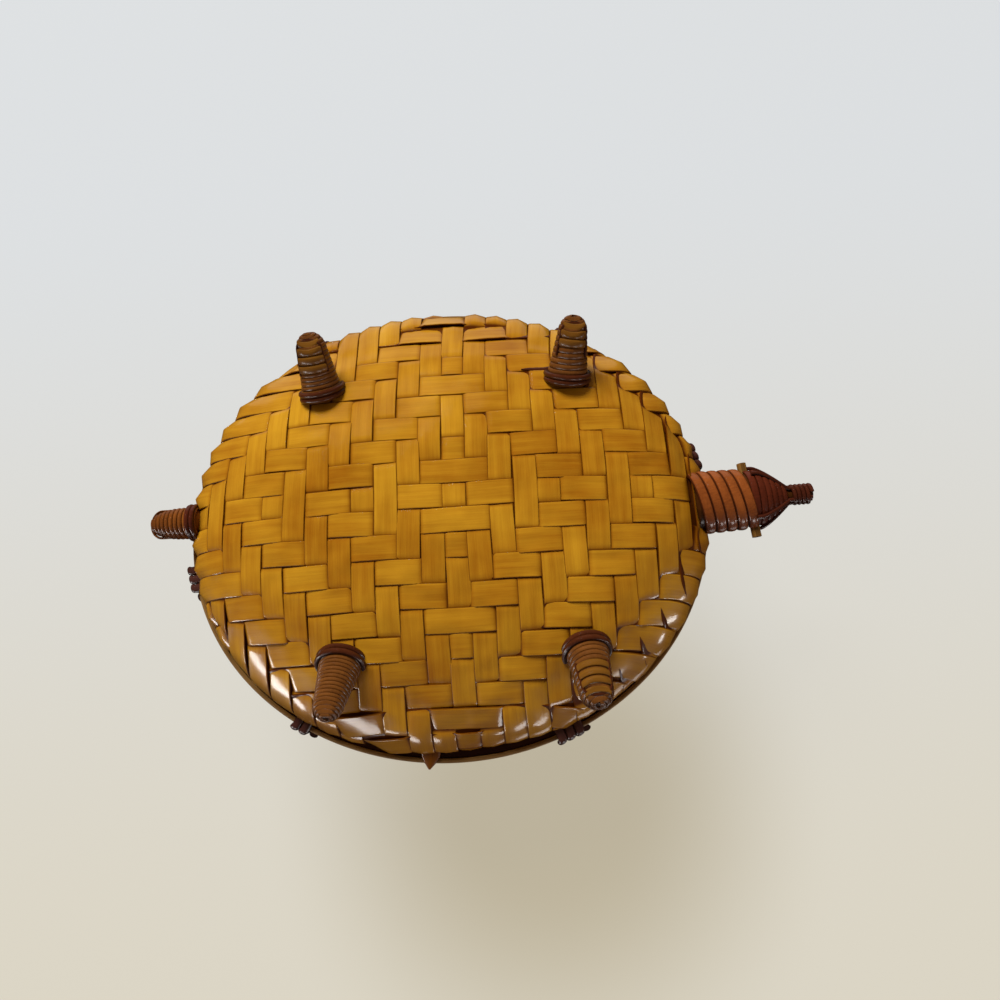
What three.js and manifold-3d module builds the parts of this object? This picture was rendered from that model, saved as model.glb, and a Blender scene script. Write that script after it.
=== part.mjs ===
// A lidded basket in the shape of an armadillo: a twill bowl on four splayed feet, with a
// cane-wound neck, head and tail, and a domed back that lifts off.
// Millimetres. +Z is up, +X points to the snout and +Y to the animal's left side.
import * as THREE from 'three';
import Module from 'manifold-3d';
import { mergeVertices } from 'three/addons/utils/BufferGeometryUtils.js';

const wasm = await Module();
wasm.setup();

// Clearances
const SEAT_GAP = 0.3;        // between pieces that touch
const HOLE_GAP = 0.35;       // round a tenon, peg or lashing in its hole
const TURN_GAP = 0.5;        // between neighbouring turns of a winding
const COLLAR_GAP = 0.4;      // between the lid's collar and the lashings inside the bowl

// Bowl: its outer face at the rim is an ellipse, and a fullness of 2 gives an elliptic profile
const BODY_HALF_LENGTH = 96;
const BODY_HALF_WIDTH = 84;
const BOWL_DEPTH = 33;
const BELLY_CLEARANCE = 6;
const WALL = 2;
const BOWL_HEAD_FULLNESS = 3.4;
const BOWL_TAIL_FULLNESS = 2.7;
const BOWL_SIDE_FULLNESS = 2;

// Twill weave of bowl and lid, as relief: pads where a strip lies on top, and grooves between them
const STRIP_ALONG = 8.75;       // width of the strips that run along the animal
const STRIP_ACROSS = 8.25;
const STRIP_BEVEL = 0.9;
const RELIEF = 0.8;
const WEAVE_REACH = 0.97;       // share of the rim's size that the relief reaches
const WEAVE_AHEAD = 6.7;        // the middle of the bowl's weave, off the bowl's own middle
const WEAVE_LEFT = -3.8;

// Rim of the bowl: a filler against the weave, then a hoop. The filler is as thick as this on average
const HOOP_HEIGHT = 4.5;
const HOOP_THICKNESS = 1.8;
const FILLER_HEIGHT = 3.6;
const FILLER_END_THICKNESS = 1.4;
const FILLER_SIDE_THICKNESS = 1.5;
const HOOP_SHIFT_AHEAD = 0.6;     // the hoop is tied on a little off the bowl's middle
const HOOP_SHIFT_LEFT = 0.9;

// Lashings of both rims, at these angles round the rim from the snout
const LASH_CANE = 1.2;
const LASH_TURNS = 2;
const RIM_LASH_ANGLES = [64, 123, 168, 240, 300, 346];
const LID_LASH_ANGLES = [32, 93, 146, 204, 270, 319];

// Lid
const LID_HEIGHT = 46;
const LID_FULLNESS = 2.25;
const LID_HOOP_HEIGHT = 4.5;
const LID_HOOP_THICKNESS = 1.8;
const COLLAR_THICKNESS = 1.8;
const COLLAR_DROP = 5;
const COLLAR_RISE = 7;

// Legs: where each leaves the bowl, and how far out its foot is
const LEG_FRONT_INSET = 46.5;   // from the bowl's head end
const LEG_REAR_INSET = 57;      // from its tail end
const LEG_REAR_STAGGER = 3.5;
const LEG_SIDE_INSET = 34.5;    // from its sides
const LEG_SHIFT_LEFT = 1.7;     // all four legs sit a little off the middle
const LEG_REACH_X = 2;
const LEG_REACH_Y = 18.5;
const FOOT_RISE = 1.4;
const LEG_FLARE_RADIUS = 6.9;
const LEG_FLARE_LENGTH = 3.2;
const LEG_RADIUS = 5.3;
const LEG_TIP_RADIUS = 4.4;
const LEG_TIP_ROUND = 1.2;
const LEG_CANE_WIDTH = 1.4;
const LEG_CANE_THICKNESS = 1.1;
const LEG_TURNS = 4.75;
const LEG_TENON_RADIUS = 2.4;
const TENON_REACH = 8.5;
const TIE_CANE = 1;
const TIE_TURNS = 2;

// Neck and head: sizes across the animal; everything is flattened in height
const NECK_DROP = 13.4;         // below the rim
const NECK_FLATTEN = 0.72;
const NECK_STANDOFF = 1;        // from the bowl's end to the first turn
const NECK_RADIUS = 9.6;
const NECK_END_RADIUS = 8.8;
const NECK_CANE_WIDTH = 2.6;
const NECK_CANE_THICKNESS = 1.4;
const NECK_TURNS = 4;
const NECK_TENON_RADIUS = 5;
const EAR_RADIUS = 1.8;
const EAR_SPAN = 28;
const HEAD_LENGTH = 11.5;
const HEAD_CANE_WIDTH = 2.2;
const HEAD_CANE_THICKNESS = 1;
const HEAD_TURNS = 2.5;
const SNOUT_RADIUS = 1.2;
const SNOUT_LENGTH = 9.5;
const STRAND = 1.1;
const STRANDS_PER_CHEEK = 3;
const STRAND_SPREAD = 46;
const SNOUT_CANE_WIDTH = 1.5;
const SNOUT_CANE_THICKNESS = 0.9;
const SNOUT_TURNS = 3;

// Tail
const TAIL_SIDE = -3;           // off the middle
const TAIL_DROP = 11.7;         // below the rim
const TAIL_STANDOFF = 1.2;      // from the bowl's end to the first turn
const TAIL_RADIUS = 4.2;
const TAIL_TIP_LENGTH = 2;
const TAIL_CANE_WIDTH = 1.3;
const TAIL_CANE_THICKNESS = 1.2;
const TAIL_TURNS = 6;
const TAIL_TENON_RADIUS = 2.6;

// Fineness
const RIM_STEPS = 48;
const WALL_STEPS = 6;
const CORE_SIDES = 12;
const WIDE_LOOP_STEPS = 16;
const LOOP_STEPS = 11;
const TIE_STEPS = 8;
const SECTION_STEPS = 400;
const CLEARANCE_FINENESS = 2;   // times as many facets where a limb is cut to fit the bowl

const COLOURS = {
  weave: { color: 0xb98023, roughness: 0.42, metalness: 0 },
  hoop: { color: 0xa58c5f, roughness: 0.5, metalness: 0 },
  filler: { color: 0x46230f, roughness: 0.6, metalness: 0 },
  lashing: { color: 0x4b2d2d, roughness: 0.5, metalness: 0 },
  leg: { color: 0x6e411e, roughness: 0.5, metalness: 0 },
  core: { color: 0x82602c, roughness: 0.6, metalness: 0 },
  neck: { color: 0xaf6941, roughness: 0.4, metalness: 0 },
  strand: { color: 0x461e19, roughness: 0.5, metalness: 0 },
};

const Z_AXIS = new THREE.Vector3(0, 0, 1);
const radians = THREE.MathUtils.degToRad;
const vector = (x, y, z) => new THREE.Vector3(x, y, z);

// A closed surface through rings of points. Its ends are fans to the two tips, or it runs round in a loop.
function skin(rings, tips) {
  const sides = rings[0].length;
  const points = rings.flat();
  const index = [];
  const bands = tips ? rings.length - 1 : rings.length;
  for (let i = 0; i < bands; i += 1) {
    const next = (i + 1) % rings.length;
    for (let j = 0; j < sides; j += 1) {
      const k = (j + 1) % sides;
      index.push(i * sides + j, i * sides + k, next * sides + k);
      index.push(i * sides + j, next * sides + k, next * sides + j);
    }
  }
  if (tips) {
    const last = (rings.length - 1) * sides;
    for (let j = 0; j < sides; j += 1) {
      const k = (j + 1) % sides;
      index.push(points.length, k, j);
      index.push(points.length + 1, last + j, last + k);
    }
    points.push(...tips);
  }
  return facingOut(points, index);
}

function facingOut(points, index) {
  let volume = 0;
  for (let i = 0; i < index.length; i += 3) {
    const [a, b, c] = [points[index[i]], points[index[i + 1]], points[index[i + 2]]];
    volume += a.dot(b.clone().cross(c));
  }
  const geometry = new THREE.BufferGeometry().setFromPoints(points);
  geometry.setIndex(volume > 0 ? index : index.reverse());
  return geometry;
}

function toSolid(geometry) {
  let closed = geometry;
  if (geometry.getAttribute('uv')) {
    closed = geometry.clone();
    closed.deleteAttribute('normal');
    closed.deleteAttribute('uv');
    closed = mergeVertices(closed);
  }
  return new wasm.Manifold(new wasm.Mesh({
    numProp: 3,
    vertProperties: new Float32Array(closed.getAttribute('position').array),
    triVerts: new Uint32Array(closed.getIndex().array),
  }));
}

function toGeometry(solid) {
  const mesh = solid.getMesh();
  const geometry = new THREE.BufferGeometry();
  geometry.setAttribute('position', new THREE.BufferAttribute(mesh.vertProperties, 3));
  geometry.setIndex(new THREE.BufferAttribute(mesh.triVerts, 1));
  return geometry;
}

const cut = (geometry, tools) => toGeometry(
  tools.reduce((solid, tool) => solid.subtract(toSolid(tool)), toSolid(geometry)));

const join = (geometry, other) => toGeometry(toSolid(geometry).add(toSolid(other)));

const turnsOf = (count) => Array.from({ length: count }, (_, i) => (i / count) * 2 * Math.PI);
const slantsOf = (count) => Array.from({ length: count }, (_, i) => ((i + 1) / count) * (Math.PI / 2));
const rimAngles = turnsOf(RIM_STEPS);
const slants = slantsOf(WALL_STEPS);

// The bowl and the lid are domes: an ellipse at the rim and a profile of its own fullness.
function dome(halfLength, halfWidth, height, [headFullness, tailFullness, sideFullness]) {
  const fullness = (angle) => {
    const end = Math.cos(angle) > 0 ? headFullness : tailFullness;
    return sideFullness + (end - sideFullness) * Math.cos(angle) ** 2;
  };
  const shrunk = (by) => dome(halfLength - by, halfWidth - by, height - by,
    [headFullness, tailFullness, sideFullness]);
  // Share of the rim's size, and height above its plane: the slant is 0 at the top and 90 degrees at the rim
  const profile = (angle, slant) => {
    const power = 2 / fullness(angle);
    return [Math.sin(slant) ** power, slant === Math.PI / 2 ? 0 : height * Math.cos(slant) ** power];
  };
  const point = (angle, slant) => {
    const [reach, h] = profile(angle, slant);
    return vector(halfLength * reach * Math.cos(angle), halfWidth * reach * Math.sin(angle), h);
  };
  // Share of the rim's size at a height, on the faceted wall
  const share = (h, angle) => {
    const rings = [0, ...slants].map((slant) => profile(angle, slant));
    const i = rings.findIndex(([, ringHeight]) => ringHeight <= h);
    return THREE.MathUtils.mapLinear(h, rings[i - 1][1], rings[i][1], rings[i - 1][0], rings[i][0]);
  };
  // Height above the rim plane of the place over (x, y)
  const heightAt = (x, y) => {
    const angle = Math.atan2(y / halfWidth, x / halfLength);
    const power = fullness(angle);
    return height * Math.max(0, 1 - Math.hypot(x / halfLength, y / halfWidth) ** power) ** (1 / power);
  };
  // The place over (x, y), lowered towards the middle of the rim
  const over = (x, y, lowered = 0) => vector(x * (1 - lowered / halfLength), y * (1 - lowered / halfWidth),
    heightAt(x, y) * (1 - lowered / height));
  return { halfLength, halfWidth, height, shrunk, share, point, heightAt, over };
}

const RIM_Z = BELLY_CLEARANCE + BOWL_DEPTH;
const LID_EDGE_Z = RIM_Z + 2 * SEAT_GAP + LASH_CANE;
const BOWL_FULLNESS = [BOWL_HEAD_FULLNESS, BOWL_TAIL_FULLNESS, BOWL_SIDE_FULLNESS];
const bowl = dome(BODY_HALF_LENGTH, BODY_HALF_WIDTH, BOWL_DEPTH, BOWL_FULLNESS);
const back = dome(BODY_HALF_LENGTH, BODY_HALF_WIDTH, LID_HEIGHT, Array(3).fill(LID_FULLNESS));
const belowRim = (p) => vector(p.x, p.y, RIM_Z - p.z);
const aboveEdge = (p) => vector(p.x, p.y, LID_EDGE_Z + p.z);

const domeRings = (form, place, finer = 1) => slantsOf(WALL_STEPS * finer).map((slant) => (
  turnsOf(RIM_STEPS * finer).map((angle) => place(form.point(angle, slant)))));
const top = (form, place) => place(vector(0, 0, form.height));
const middle = (place, h = 0) => place(vector(0, 0, h));

function filledDome(form, place, finer) {
  return skin(domeRings(form, place, finer), [top(form, place), middle(place)]);
}

// Where the edges of strips cross the middle of a dome: edge n is the lower edge of strip n, and
// the strips lie a pitch apart over the curve, counted from the one at the start
function stripEdges(half, heightOver, pitch, start) {
  const places = Array.from({ length: SECTION_STEPS + 1 }, (_, i) => (
    half * Math.sin(Math.PI * (i / SECTION_STEPS - 0.5))));
  const lengths = [0];
  for (let i = 1; i <= SECTION_STEPS; i += 1) {
    const rise = heightOver(places[i]) - heightOver(places[i - 1]);
    lengths.push(lengths[i - 1] + Math.hypot(places[i] - places[i - 1], rise));
  }
  const read = (from, to, value) => {
    const i = from.findIndex((v, k) => k > 0 && v >= value);
    return THREE.MathUtils.mapLinear(value, from[i - 1], from[i], to[i - 1], to[i]);
  };
  const first = read(places, lengths, start);
  const edges = new Map();
  for (let n = Math.ceil(0.5 - first / pitch); first + (n - 0.5) * pitch < lengths.at(-1); n += 1) {
    edges.set(n, read(lengths, places, first + (n - 0.5) * pitch));
  }
  return edges;
}

// Over two and under two, counted from the middle both ways
const lengthwiseOnTop = (column, row) => [1, 2].includes((Math.abs(column) + Math.abs(row)) % 4);

// The woven face of a dome, closed towards the middle of the rim. Each stretch of strip on top is one pad.
function wovenFace(form, place, ahead, left) {
  const columns = stripEdges(form.halfLength, (x) => form.heightAt(x, 0), STRIP_ACROSS, ahead);
  const rows = stripEdges(form.halfWidth, (y) => form.heightAt(0, y), STRIP_ALONG, left);
  const points = [middle(place, RELIEF)];
  const index = [];
  const grooves = new Map();
  const groove = (i, j) => {
    const key = `${i} ${j}`;
    if (!grooves.has(key)) {
      grooves.set(key, points.push(place(form.over(columns.get(i), rows.get(j), RELIEF))) - 1);
    }
    return grooves.get(key);
  };
  const reached = (i, j) => columns.has(i) && rows.has(j)
    && Math.hypot(columns.get(i) / form.halfLength, rows.get(j) / form.halfWidth) < WEAVE_REACH;
  const covered = (i, j) => reached(i, j) && reached(i + 1, j) && reached(i, j + 1) && reached(i + 1, j + 1);
  const bevelled = (edges, n, towards, pitch) => (
    THREE.MathUtils.lerp(edges.get(n), edges.get(n + towards), STRIP_BEVEL / pitch));
  const padCorner = (i, j, towardsX, towardsY) => points.push(place(form.over(
    bevelled(columns, i, towardsX, STRIP_ACROSS), bevelled(rows, j, towardsY, STRIP_ALONG)))) - 1;

  // A pad between two sides of groove points; its four corners stand next to the ends of the sides
  const pad = (near, far, [a0, a1, b1, b0]) => {
    const n = near.length - 1;
    const half = Math.floor(n / 2);
    for (let k = 0; k < n; k += 1) {
      index.push(near[k], near[k + 1], k < half ? a0 : a1);
      index.push(far[k + 1], far[k], k < half ? b0 : b1);
    }
    index.push(near[half], a1, a0, far[half], b0, b1);
    index.push(near[n], far[n], b1, near[n], b1, a1);
    index.push(far[0], near[0], a0, far[0], a0, b0);
    index.push(a0, a1, b1, a0, b1, b0);
  };
  const steps = (n) => Array.from({ length: n + 1 }, (_, k) => k);

  for (const i of columns.keys()) {
    for (const j of rows.keys()) {
      if (!covered(i, j)) continue;
      const lengthwise = lengthwiseOnTop(i, j);
      const [di, dj] = lengthwise ? [1, 0] : [0, 1];
      const same = (k) => covered(i + k * di, j + k * dj)
        && lengthwiseOnTop(i + k * di, j + k * dj) === lengthwise;
      let n = 1;
      while (same(n)) n += 1;
      if (!same(-1)) {
        const [p, q] = [i + (lengthwise ? n : 1), j + (lengthwise ? 1 : n)];
        const corners = [padCorner(i, j, 1, 1), padCorner(p, j, -1, 1), padCorner(p, q, -1, -1),
          padCorner(i, q, 1, -1)];
        if (lengthwise) {
          pad(steps(n).map((k) => groove(i + k, j)), steps(n).map((k) => groove(i + k, q)), corners);
        } else {
          const turned = [...corners.slice(1), corners[0]];
          pad(steps(n).map((k) => groove(p, j + k)), steps(n).map((k) => groove(i, j + k)), turned);
        }
      }
      const around = [[i, j], [i + 1, j], [i + 1, j + 1], [i, j + 1]];
      const beyond = [[i, j - 1], [i + 1, j], [i, j + 1], [i - 1, j]];
      beyond.forEach((cell, k) => {
        if (!covered(...cell)) index.push(groove(...around[(k + 1) % 4]), groove(...around[k]), 0);
      });
    }
  }
  return facingOut(points, index);
}

// A dome's wall: the woven face on a plain dome that lies below the grooves, hollowed out from the rim
function shell(form, place, ahead, left) {
  const under = form.shrunk(RELIEF + SEAT_GAP);
  const inner = form.shrunk(WALL);
  const edge = domeRings(form, place).at(-1);
  const plain = skin([...domeRings(under, place).slice(0, -1), edge], [top(under, place), middle(place)]);
  const beyond = rimAngles.map((angle) => inner.point(angle, Math.PI / 2)).map((p) => place(p.setZ(-WALL)));
  const hollow = skin([...domeRings(inner, place), beyond], [top(inner, place), middle(place, -WALL)]);
  const woven = wovenFace(form, place, ahead, left);
  return toGeometry(toSolid(plain).add(toSolid(woven)).subtract(toSolid(hollow)));
}

// An upright band between two ellipses, each given by its half sizes and its middle
function band(inner, outer, bottom, height) {
  const corner = ([a, b, x, y], angle, z) => vector(x + a * Math.cos(angle), y + b * Math.sin(angle), z);
  return skin(rimAngles.map((angle) => [
    corner(inner, angle, bottom),
    corner(outer, angle, bottom),
    corner(outer, angle, bottom + height),
    corner(inner, angle, bottom + height),
  ]));
}

const grown = ([a, b, x, y], byLength, byWidth = byLength) => [a + byLength, b + byWidth, x, y];
const shifted = ([a, b, x, y], ahead, left) => [a, b, x + ahead, y + left];
const BODY_EDGE = [BODY_HALF_LENGTH, BODY_HALF_WIDTH, 0, 0];

// An axis with two directions across it, one of which may be flattened
function axis(origin, along, side, flatten = 1) {
  const u = side.clone().addScaledVector(along, -side.dot(along)).normalize();
  const v = along.clone().cross(u);
  const at = (s, radius, angle) => origin.clone().addScaledVector(along, s)
    .addScaledVector(u, radius * Math.cos(angle)).addScaledVector(v, radius * flatten * Math.sin(angle));
  const outward = (angle) => u.clone().multiplyScalar(flatten * Math.cos(angle))
    .addScaledVector(v, Math.sin(angle)).normalize();
  return { along, at, outward };
}

// A solid of round (or flattened) section; stations are [place along the axis, radius]
function turned(line, stations, sides = CORE_SIDES) {
  const rings = stations.map(([s, radius]) => Array.from({ length: sides }, (_, j) => (
    line.at(s, radius, ((j + 0.5) / sides) * 2 * Math.PI))));
  return skin(rings, [line.at(stations[0][0], 0, 0), line.at(stations.at(-1)[0], 0, 0)]);
}

// Section of split cane, as [along, out] shares of its width and thickness: flat inside, crowned outside
const SPLIT_CANE = [[-0.5, 0], [0.5, 0], [0.42, 0.7], [0, 1], [-0.42, 0.7]];
// Section of round cane, with its middle on the path
const ROUND_CANE = Array.from({ length: 5 }, (_, i) => [
  0.5 * Math.cos((i / 5) * 2 * Math.PI), 0.5 * Math.sin((i / 5) * 2 * Math.PI)]);

// Cane along path points that each carry the directions of its section. Both ends run on straight.
function cane(path, section, width, thickness) {
  const carry = (from, to) => ({
    ...to, point: to.point.clone().addScaledVector(to.point.clone().sub(from.point).normalize(), width) });
  const whole = [carry(path[1], path[0]), ...path, carry(path.at(-2), path.at(-1))];
  const rings = whole.map(({ point, across, out }) => section.map(([a, b]) => (
    point.clone().addScaledVector(across, a * width).addScaledVector(out, b * thickness))));
  const middle = (ring) => ring.reduce((sum, p) => sum.add(p), vector(0, 0, 0)).divideScalar(ring.length);
  return { rings, geometry: skin(rings, [middle(rings[0]), middle(rings.at(-1))]) };
}

// Least distance between points of a winding that lie more than half a turn apart
function gapToItself(rings, stepsPerTurn) {
  let least = Infinity;
  for (let i = 0; i < rings.length; i += 1) {
    for (let j = i + Math.ceil(stepsPerTurn / 2); j < rings.length; j += 1) {
      for (const p of rings[i]) {
        for (const q of rings[j]) least = Math.min(least, p.distanceTo(q));
      }
    }
  }
  return least;
}

function reportGap(name, rings, stepsPerTurn) {
  console.log(`${name}: least gap to itself ${gapToItself(rings, stepsPerTurn).toFixed(2)} mm`);
}

// Turns of cane round a core: the core's radius is a function of the place along the axis
function winding(name, line, start, turns, coreRadius, width, thickness, steps) {
  const pitch = width + TURN_GAP;
  const count = Math.round(turns * steps);
  const clear = 1 / Math.cos(Math.PI / steps);
  const path = Array.from({ length: count + 1 }, (_, i) => {
    const angle = (i / steps) * 2 * Math.PI;
    const s = start + width / 2 + (i / steps) * pitch;
    return { point: line.at(s, (coreRadius(s) + SEAT_GAP) * clear, angle), across: line.along,
      out: line.outward(angle) };
  });
  const { rings, geometry } = cane(path, SPLIT_CANE, width, thickness);
  reportGap(name, rings, steps);
  return geometry;
}

const windingLength = (turns, width) => width + turns * (width + TURN_GAP);

// Place, outward direction and direction along the rim at an angle round the body's edge
function rimFrame(degrees) {
  const angle = radians(degrees);
  const point = vector(BODY_HALF_LENGTH * Math.cos(angle), BODY_HALF_WIDTH * Math.sin(angle), 0);
  const out = vector(Math.cos(angle) / BODY_HALF_LENGTH, Math.sin(angle) / BODY_HALF_WIDTH, 0).normalize();
  const offset = (byLength, byWidth) => (
    byLength * Math.cos(angle) * out.x + byWidth * Math.sin(angle) * out.y);
  // How far outside the body's edge another ellipse is
  const reach = ([a, b, x, y]) => offset(a - BODY_HALF_LENGTH, b - BODY_HALF_WIDTH) + x * out.x + y * out.y;
  return { angle, point, out, along: Z_AXIS.clone().cross(out), offset, reach };
}

const LASH_PITCH = LASH_CANE + TURN_GAP;
const LASH_OFFSET = SEAT_GAP + LASH_CANE / 2;
const LASH_START = 3;   // both ends lie on the outer face, at its upper corner

// How far inside the body's edge the wall's inner face is, a height away from the rim
function innerFace(form, frame, h) {
  const inner = form.shrunk(WALL);
  const share = inner.share(h, frame.angle);
  return frame.offset(BODY_HALF_LENGTH - inner.halfLength * share, BODY_HALF_WIDTH - inner.halfWidth * share);
}

// Turns round a rectangle in the rim's section: inner and outer distance from the body's edge, bottom and top
function lashing(name, frame, inside, outside, bottom, height) {
  const corners = [[outside, bottom, -90], [outside, bottom + height, 0], [-inside, bottom + height, 90],
    [-inside, bottom, 180]];
  const loop = corners.flatMap(([x, z, turn]) => [0, 45, 90].map((part) => {
    const angle = radians(turn + part);
    return { x: x + LASH_OFFSET * Math.cos(angle), z: z + LASH_OFFSET * Math.sin(angle), angle };
  }));
  const steps = loop.length;
  const count = LASH_TURNS * steps;
  const path = Array.from({ length: count + 1 }, (_, i) => {
    const { x, z, angle } = loop[(i + LASH_START) % steps];
    const slide = (i / steps - LASH_TURNS / 2) * LASH_PITCH;
    const point = frame.point.clone().addScaledVector(frame.out, x).addScaledVector(frame.along, slide);
    point.z = z;
    const out = frame.out.clone().multiplyScalar(Math.cos(angle)).addScaledVector(Z_AXIS, Math.sin(angle));
    return { point, across: frame.along, out };
  });
  const { rings, geometry } = cane(path, ROUND_CANE, LASH_CANE, LASH_CANE);
  reportGap(name, rings, steps);
  return geometry;
}

// The slot in the wall that a lashing passes through
function lashSlot(frame, z) {
  const width = LASH_TURNS * LASH_PITCH + LASH_CANE + 2 * HOLE_GAP;
  const slot = new THREE.BoxGeometry(8 * WALL, width, LASH_CANE + 2 * HOLE_GAP);
  slot.rotateZ(Math.atan2(frame.out.y, frame.out.x));
  return slot.translate(frame.point.x, frame.point.y, z);
}

const parts = [];
function add(group, name, geometry, look) {
  const mesh = new THREE.Mesh(geometry, new THREE.MeshStandardMaterial(COLOURS[look]));
  mesh.name = name;
  group.add(mesh);
  parts.push(mesh);
}

const basket = new THREE.Group();
const base = new THREE.Group();
const lid = new THREE.Group();
basket.add(base, lid);

const aroundBowl = dome(BODY_HALF_LENGTH + SEAT_GAP, BODY_HALF_WIDTH + SEAT_GAP, BOWL_DEPTH + SEAT_GAP,
  BOWL_FULLNESS);
const bowlClearance = filledDome(aroundBowl, belowRim, CLEARANCE_FINENESS);
const bowlHoles = [];

// Rim of the bowl
const fillerInner = grown(BODY_EDGE, SEAT_GAP);
const fillerOuter = shifted(grown(fillerInner, FILLER_END_THICKNESS, FILLER_SIDE_THICKNESS),
  HOOP_SHIFT_AHEAD, HOOP_SHIFT_LEFT);
const hoopInner = grown(fillerOuter, SEAT_GAP);
const hoopOuter = grown(hoopInner, HOOP_THICKNESS);
const hoopBottom = RIM_Z - HOOP_HEIGHT;
const fillerBottom = RIM_Z - (HOOP_HEIGHT + FILLER_HEIGHT) / 2;
add(base, 'rim_core', band(fillerInner, fillerOuter, fillerBottom, FILLER_HEIGHT), 'filler');
add(base, 'rim_hoop', band(hoopInner, hoopOuter, hoopBottom, HOOP_HEIGHT), 'hoop');
const rimInsides = RIM_LASH_ANGLES.map((degrees, i) => {
  const frame = rimFrame(degrees);
  const inside = innerFace(bowl, frame, HOOP_HEIGHT);
  const outside = frame.reach(hoopOuter);
  const name = `rim_lashing_${i + 1}`;
  add(base, name, lashing(name, frame, inside, outside, hoopBottom, HOOP_HEIGHT), 'lashing');
  bowlHoles.push(lashSlot(frame, hoopBottom - LASH_OFFSET));
  return inside;
});

// Legs
const underground = new THREE.BoxGeometry(4 * BODY_HALF_LENGTH, 4 * BODY_HALF_WIDTH, RIM_Z);
underground.translate(0, 0, -RIM_Z / 2);
const legFrontX = BODY_HALF_LENGTH - LEG_FRONT_INSET;
const legRearX = LEG_REAR_INSET - BODY_HALF_LENGTH;
const legRootY = BODY_HALF_WIDTH - LEG_SIDE_INSET;
const legPlaces = [
  ['front_left', legFrontX, 1, LEG_REACH_X],
  ['front_right', legFrontX, -1, LEG_REACH_X],
  ['rear_left', legRearX + LEG_REAR_STAGGER, 1, -LEG_REACH_X],
  ['rear_right', legRearX - LEG_REAR_STAGGER, -1, -LEG_REACH_X],
];
for (const [name, x, side, reachX] of legPlaces) {
  const y = LEG_SHIFT_LEFT + side * legRootY;
  const root = vector(x, y, RIM_Z - bowl.heightAt(x, y));
  const foot = vector(x + reachX, y + side * LEG_REACH_Y, FOOT_RISE);
  const length = foot.distanceTo(root);
  const line = axis(root, foot.clone().sub(root).normalize(), vector(side, 0, 0));
  const radius = (s) => THREE.MathUtils.mapLinear(s, LEG_FLARE_LENGTH, length, LEG_RADIUS, LEG_TIP_RADIUS);
  const outer = turned(line, [[-LEG_FLARE_RADIUS, LEG_FLARE_RADIUS], [LEG_FLARE_LENGTH, LEG_FLARE_RADIUS],
    [LEG_FLARE_LENGTH, LEG_RADIUS], [length - LEG_TIP_ROUND, radius(length - LEG_TIP_ROUND)],
    [length, LEG_TIP_RADIUS - LEG_TIP_ROUND]]);
  const tenonEnd = -WALL - TENON_REACH;
  const tenon = turned(line, [[tenonEnd, LEG_TENON_RADIUS], [LEG_FLARE_LENGTH, LEG_TENON_RADIUS]]);
  bowlHoles.push(turned(line, [[tenonEnd, LEG_TENON_RADIUS + HOLE_GAP],
    [LEG_FLARE_LENGTH, LEG_TENON_RADIUS + HOLE_GAP]]));
  add(base, `leg_core_${name}`, join(cut(outer, [bowlClearance, underground]), tenon), 'core');
  const wrap = `leg_wrap_${name}`;
  add(base, wrap, winding(wrap, line, LEG_FLARE_LENGTH + SEAT_GAP, LEG_TURNS, radius, LEG_CANE_WIDTH,
    LEG_CANE_THICKNESS, LOOP_STEPS), 'leg');
  const tie = `leg_tie_${name}`;
  const tieStart = tenonEnd + SEAT_GAP;
  add(base, tie, winding(tie, line, tieStart, TIE_TURNS, () => LEG_TENON_RADIUS, TIE_CANE, TIE_CANE,
    TIE_STEPS), 'leg');
}

// Neck: an oval bundle with a tenon through the bowl's head end, cross-drilled for the ears
const neckZ = RIM_Z - NECK_DROP;
const neckStart = BODY_HALF_LENGTH + NECK_STANDOFF;
const neckLine = axis(vector(0, 0, neckZ), vector(1, 0, 0), vector(0, 1, 0), NECK_FLATTEN);
const neckWrapEnd = neckStart + windingLength(NECK_TURNS, NECK_CANE_WIDTH);
const earX = neckWrapEnd + SEAT_GAP + EAR_RADIUS;
const neckEnd = earX + EAR_RADIUS + SEAT_GAP;
const neckRadius = (s) => THREE.MathUtils.mapLinear(s, neckStart, neckEnd, NECK_RADIUS, NECK_END_RADIUS);
const headWall = (z) => BODY_HALF_LENGTH * bowl.shrunk(WALL).share(RIM_Z - z, 0);
const neckTenonEnd = headWall(neckZ - NECK_TENON_RADIUS) - WALL - TENON_REACH;
const neckOuter = turned(neckLine, [[neckTenonEnd, NECK_RADIUS], [neckStart, NECK_RADIUS],
  [neckEnd, NECK_END_RADIUS]]);
const neckTenon = turned(neckLine, [[neckTenonEnd, NECK_TENON_RADIUS], [neckStart, NECK_TENON_RADIUS]]);
bowlHoles.push(turned(neckLine, [[neckTenonEnd, NECK_TENON_RADIUS + HOLE_GAP / NECK_FLATTEN],
  [neckStart, NECK_TENON_RADIUS + HOLE_GAP / NECK_FLATTEN]]));
const earLine = axis(vector(earX, 0, neckZ), vector(0, 1, 0), Z_AXIS);
const earHole = turned(earLine, [[-EAR_SPAN, EAR_RADIUS + HOLE_GAP], [EAR_SPAN, EAR_RADIUS + HOLE_GAP]], 10);
add(base, 'neck_core', cut(join(cut(neckOuter, [bowlClearance]), neckTenon), [earHole]), 'core');
add(base, 'neck_wrap', winding('neck_wrap', neckLine, neckStart, NECK_TURNS, neckRadius, NECK_CANE_WIDTH,
  NECK_CANE_THICKNESS, WIDE_LOOP_STEPS), 'neck');
add(base, 'neck_tie', winding('neck_tie', neckLine, neckTenonEnd + SEAT_GAP, TIE_TURNS,
  () => NECK_TENON_RADIUS, TIE_CANE, TIE_CANE, TIE_STEPS), 'leg');
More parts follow.
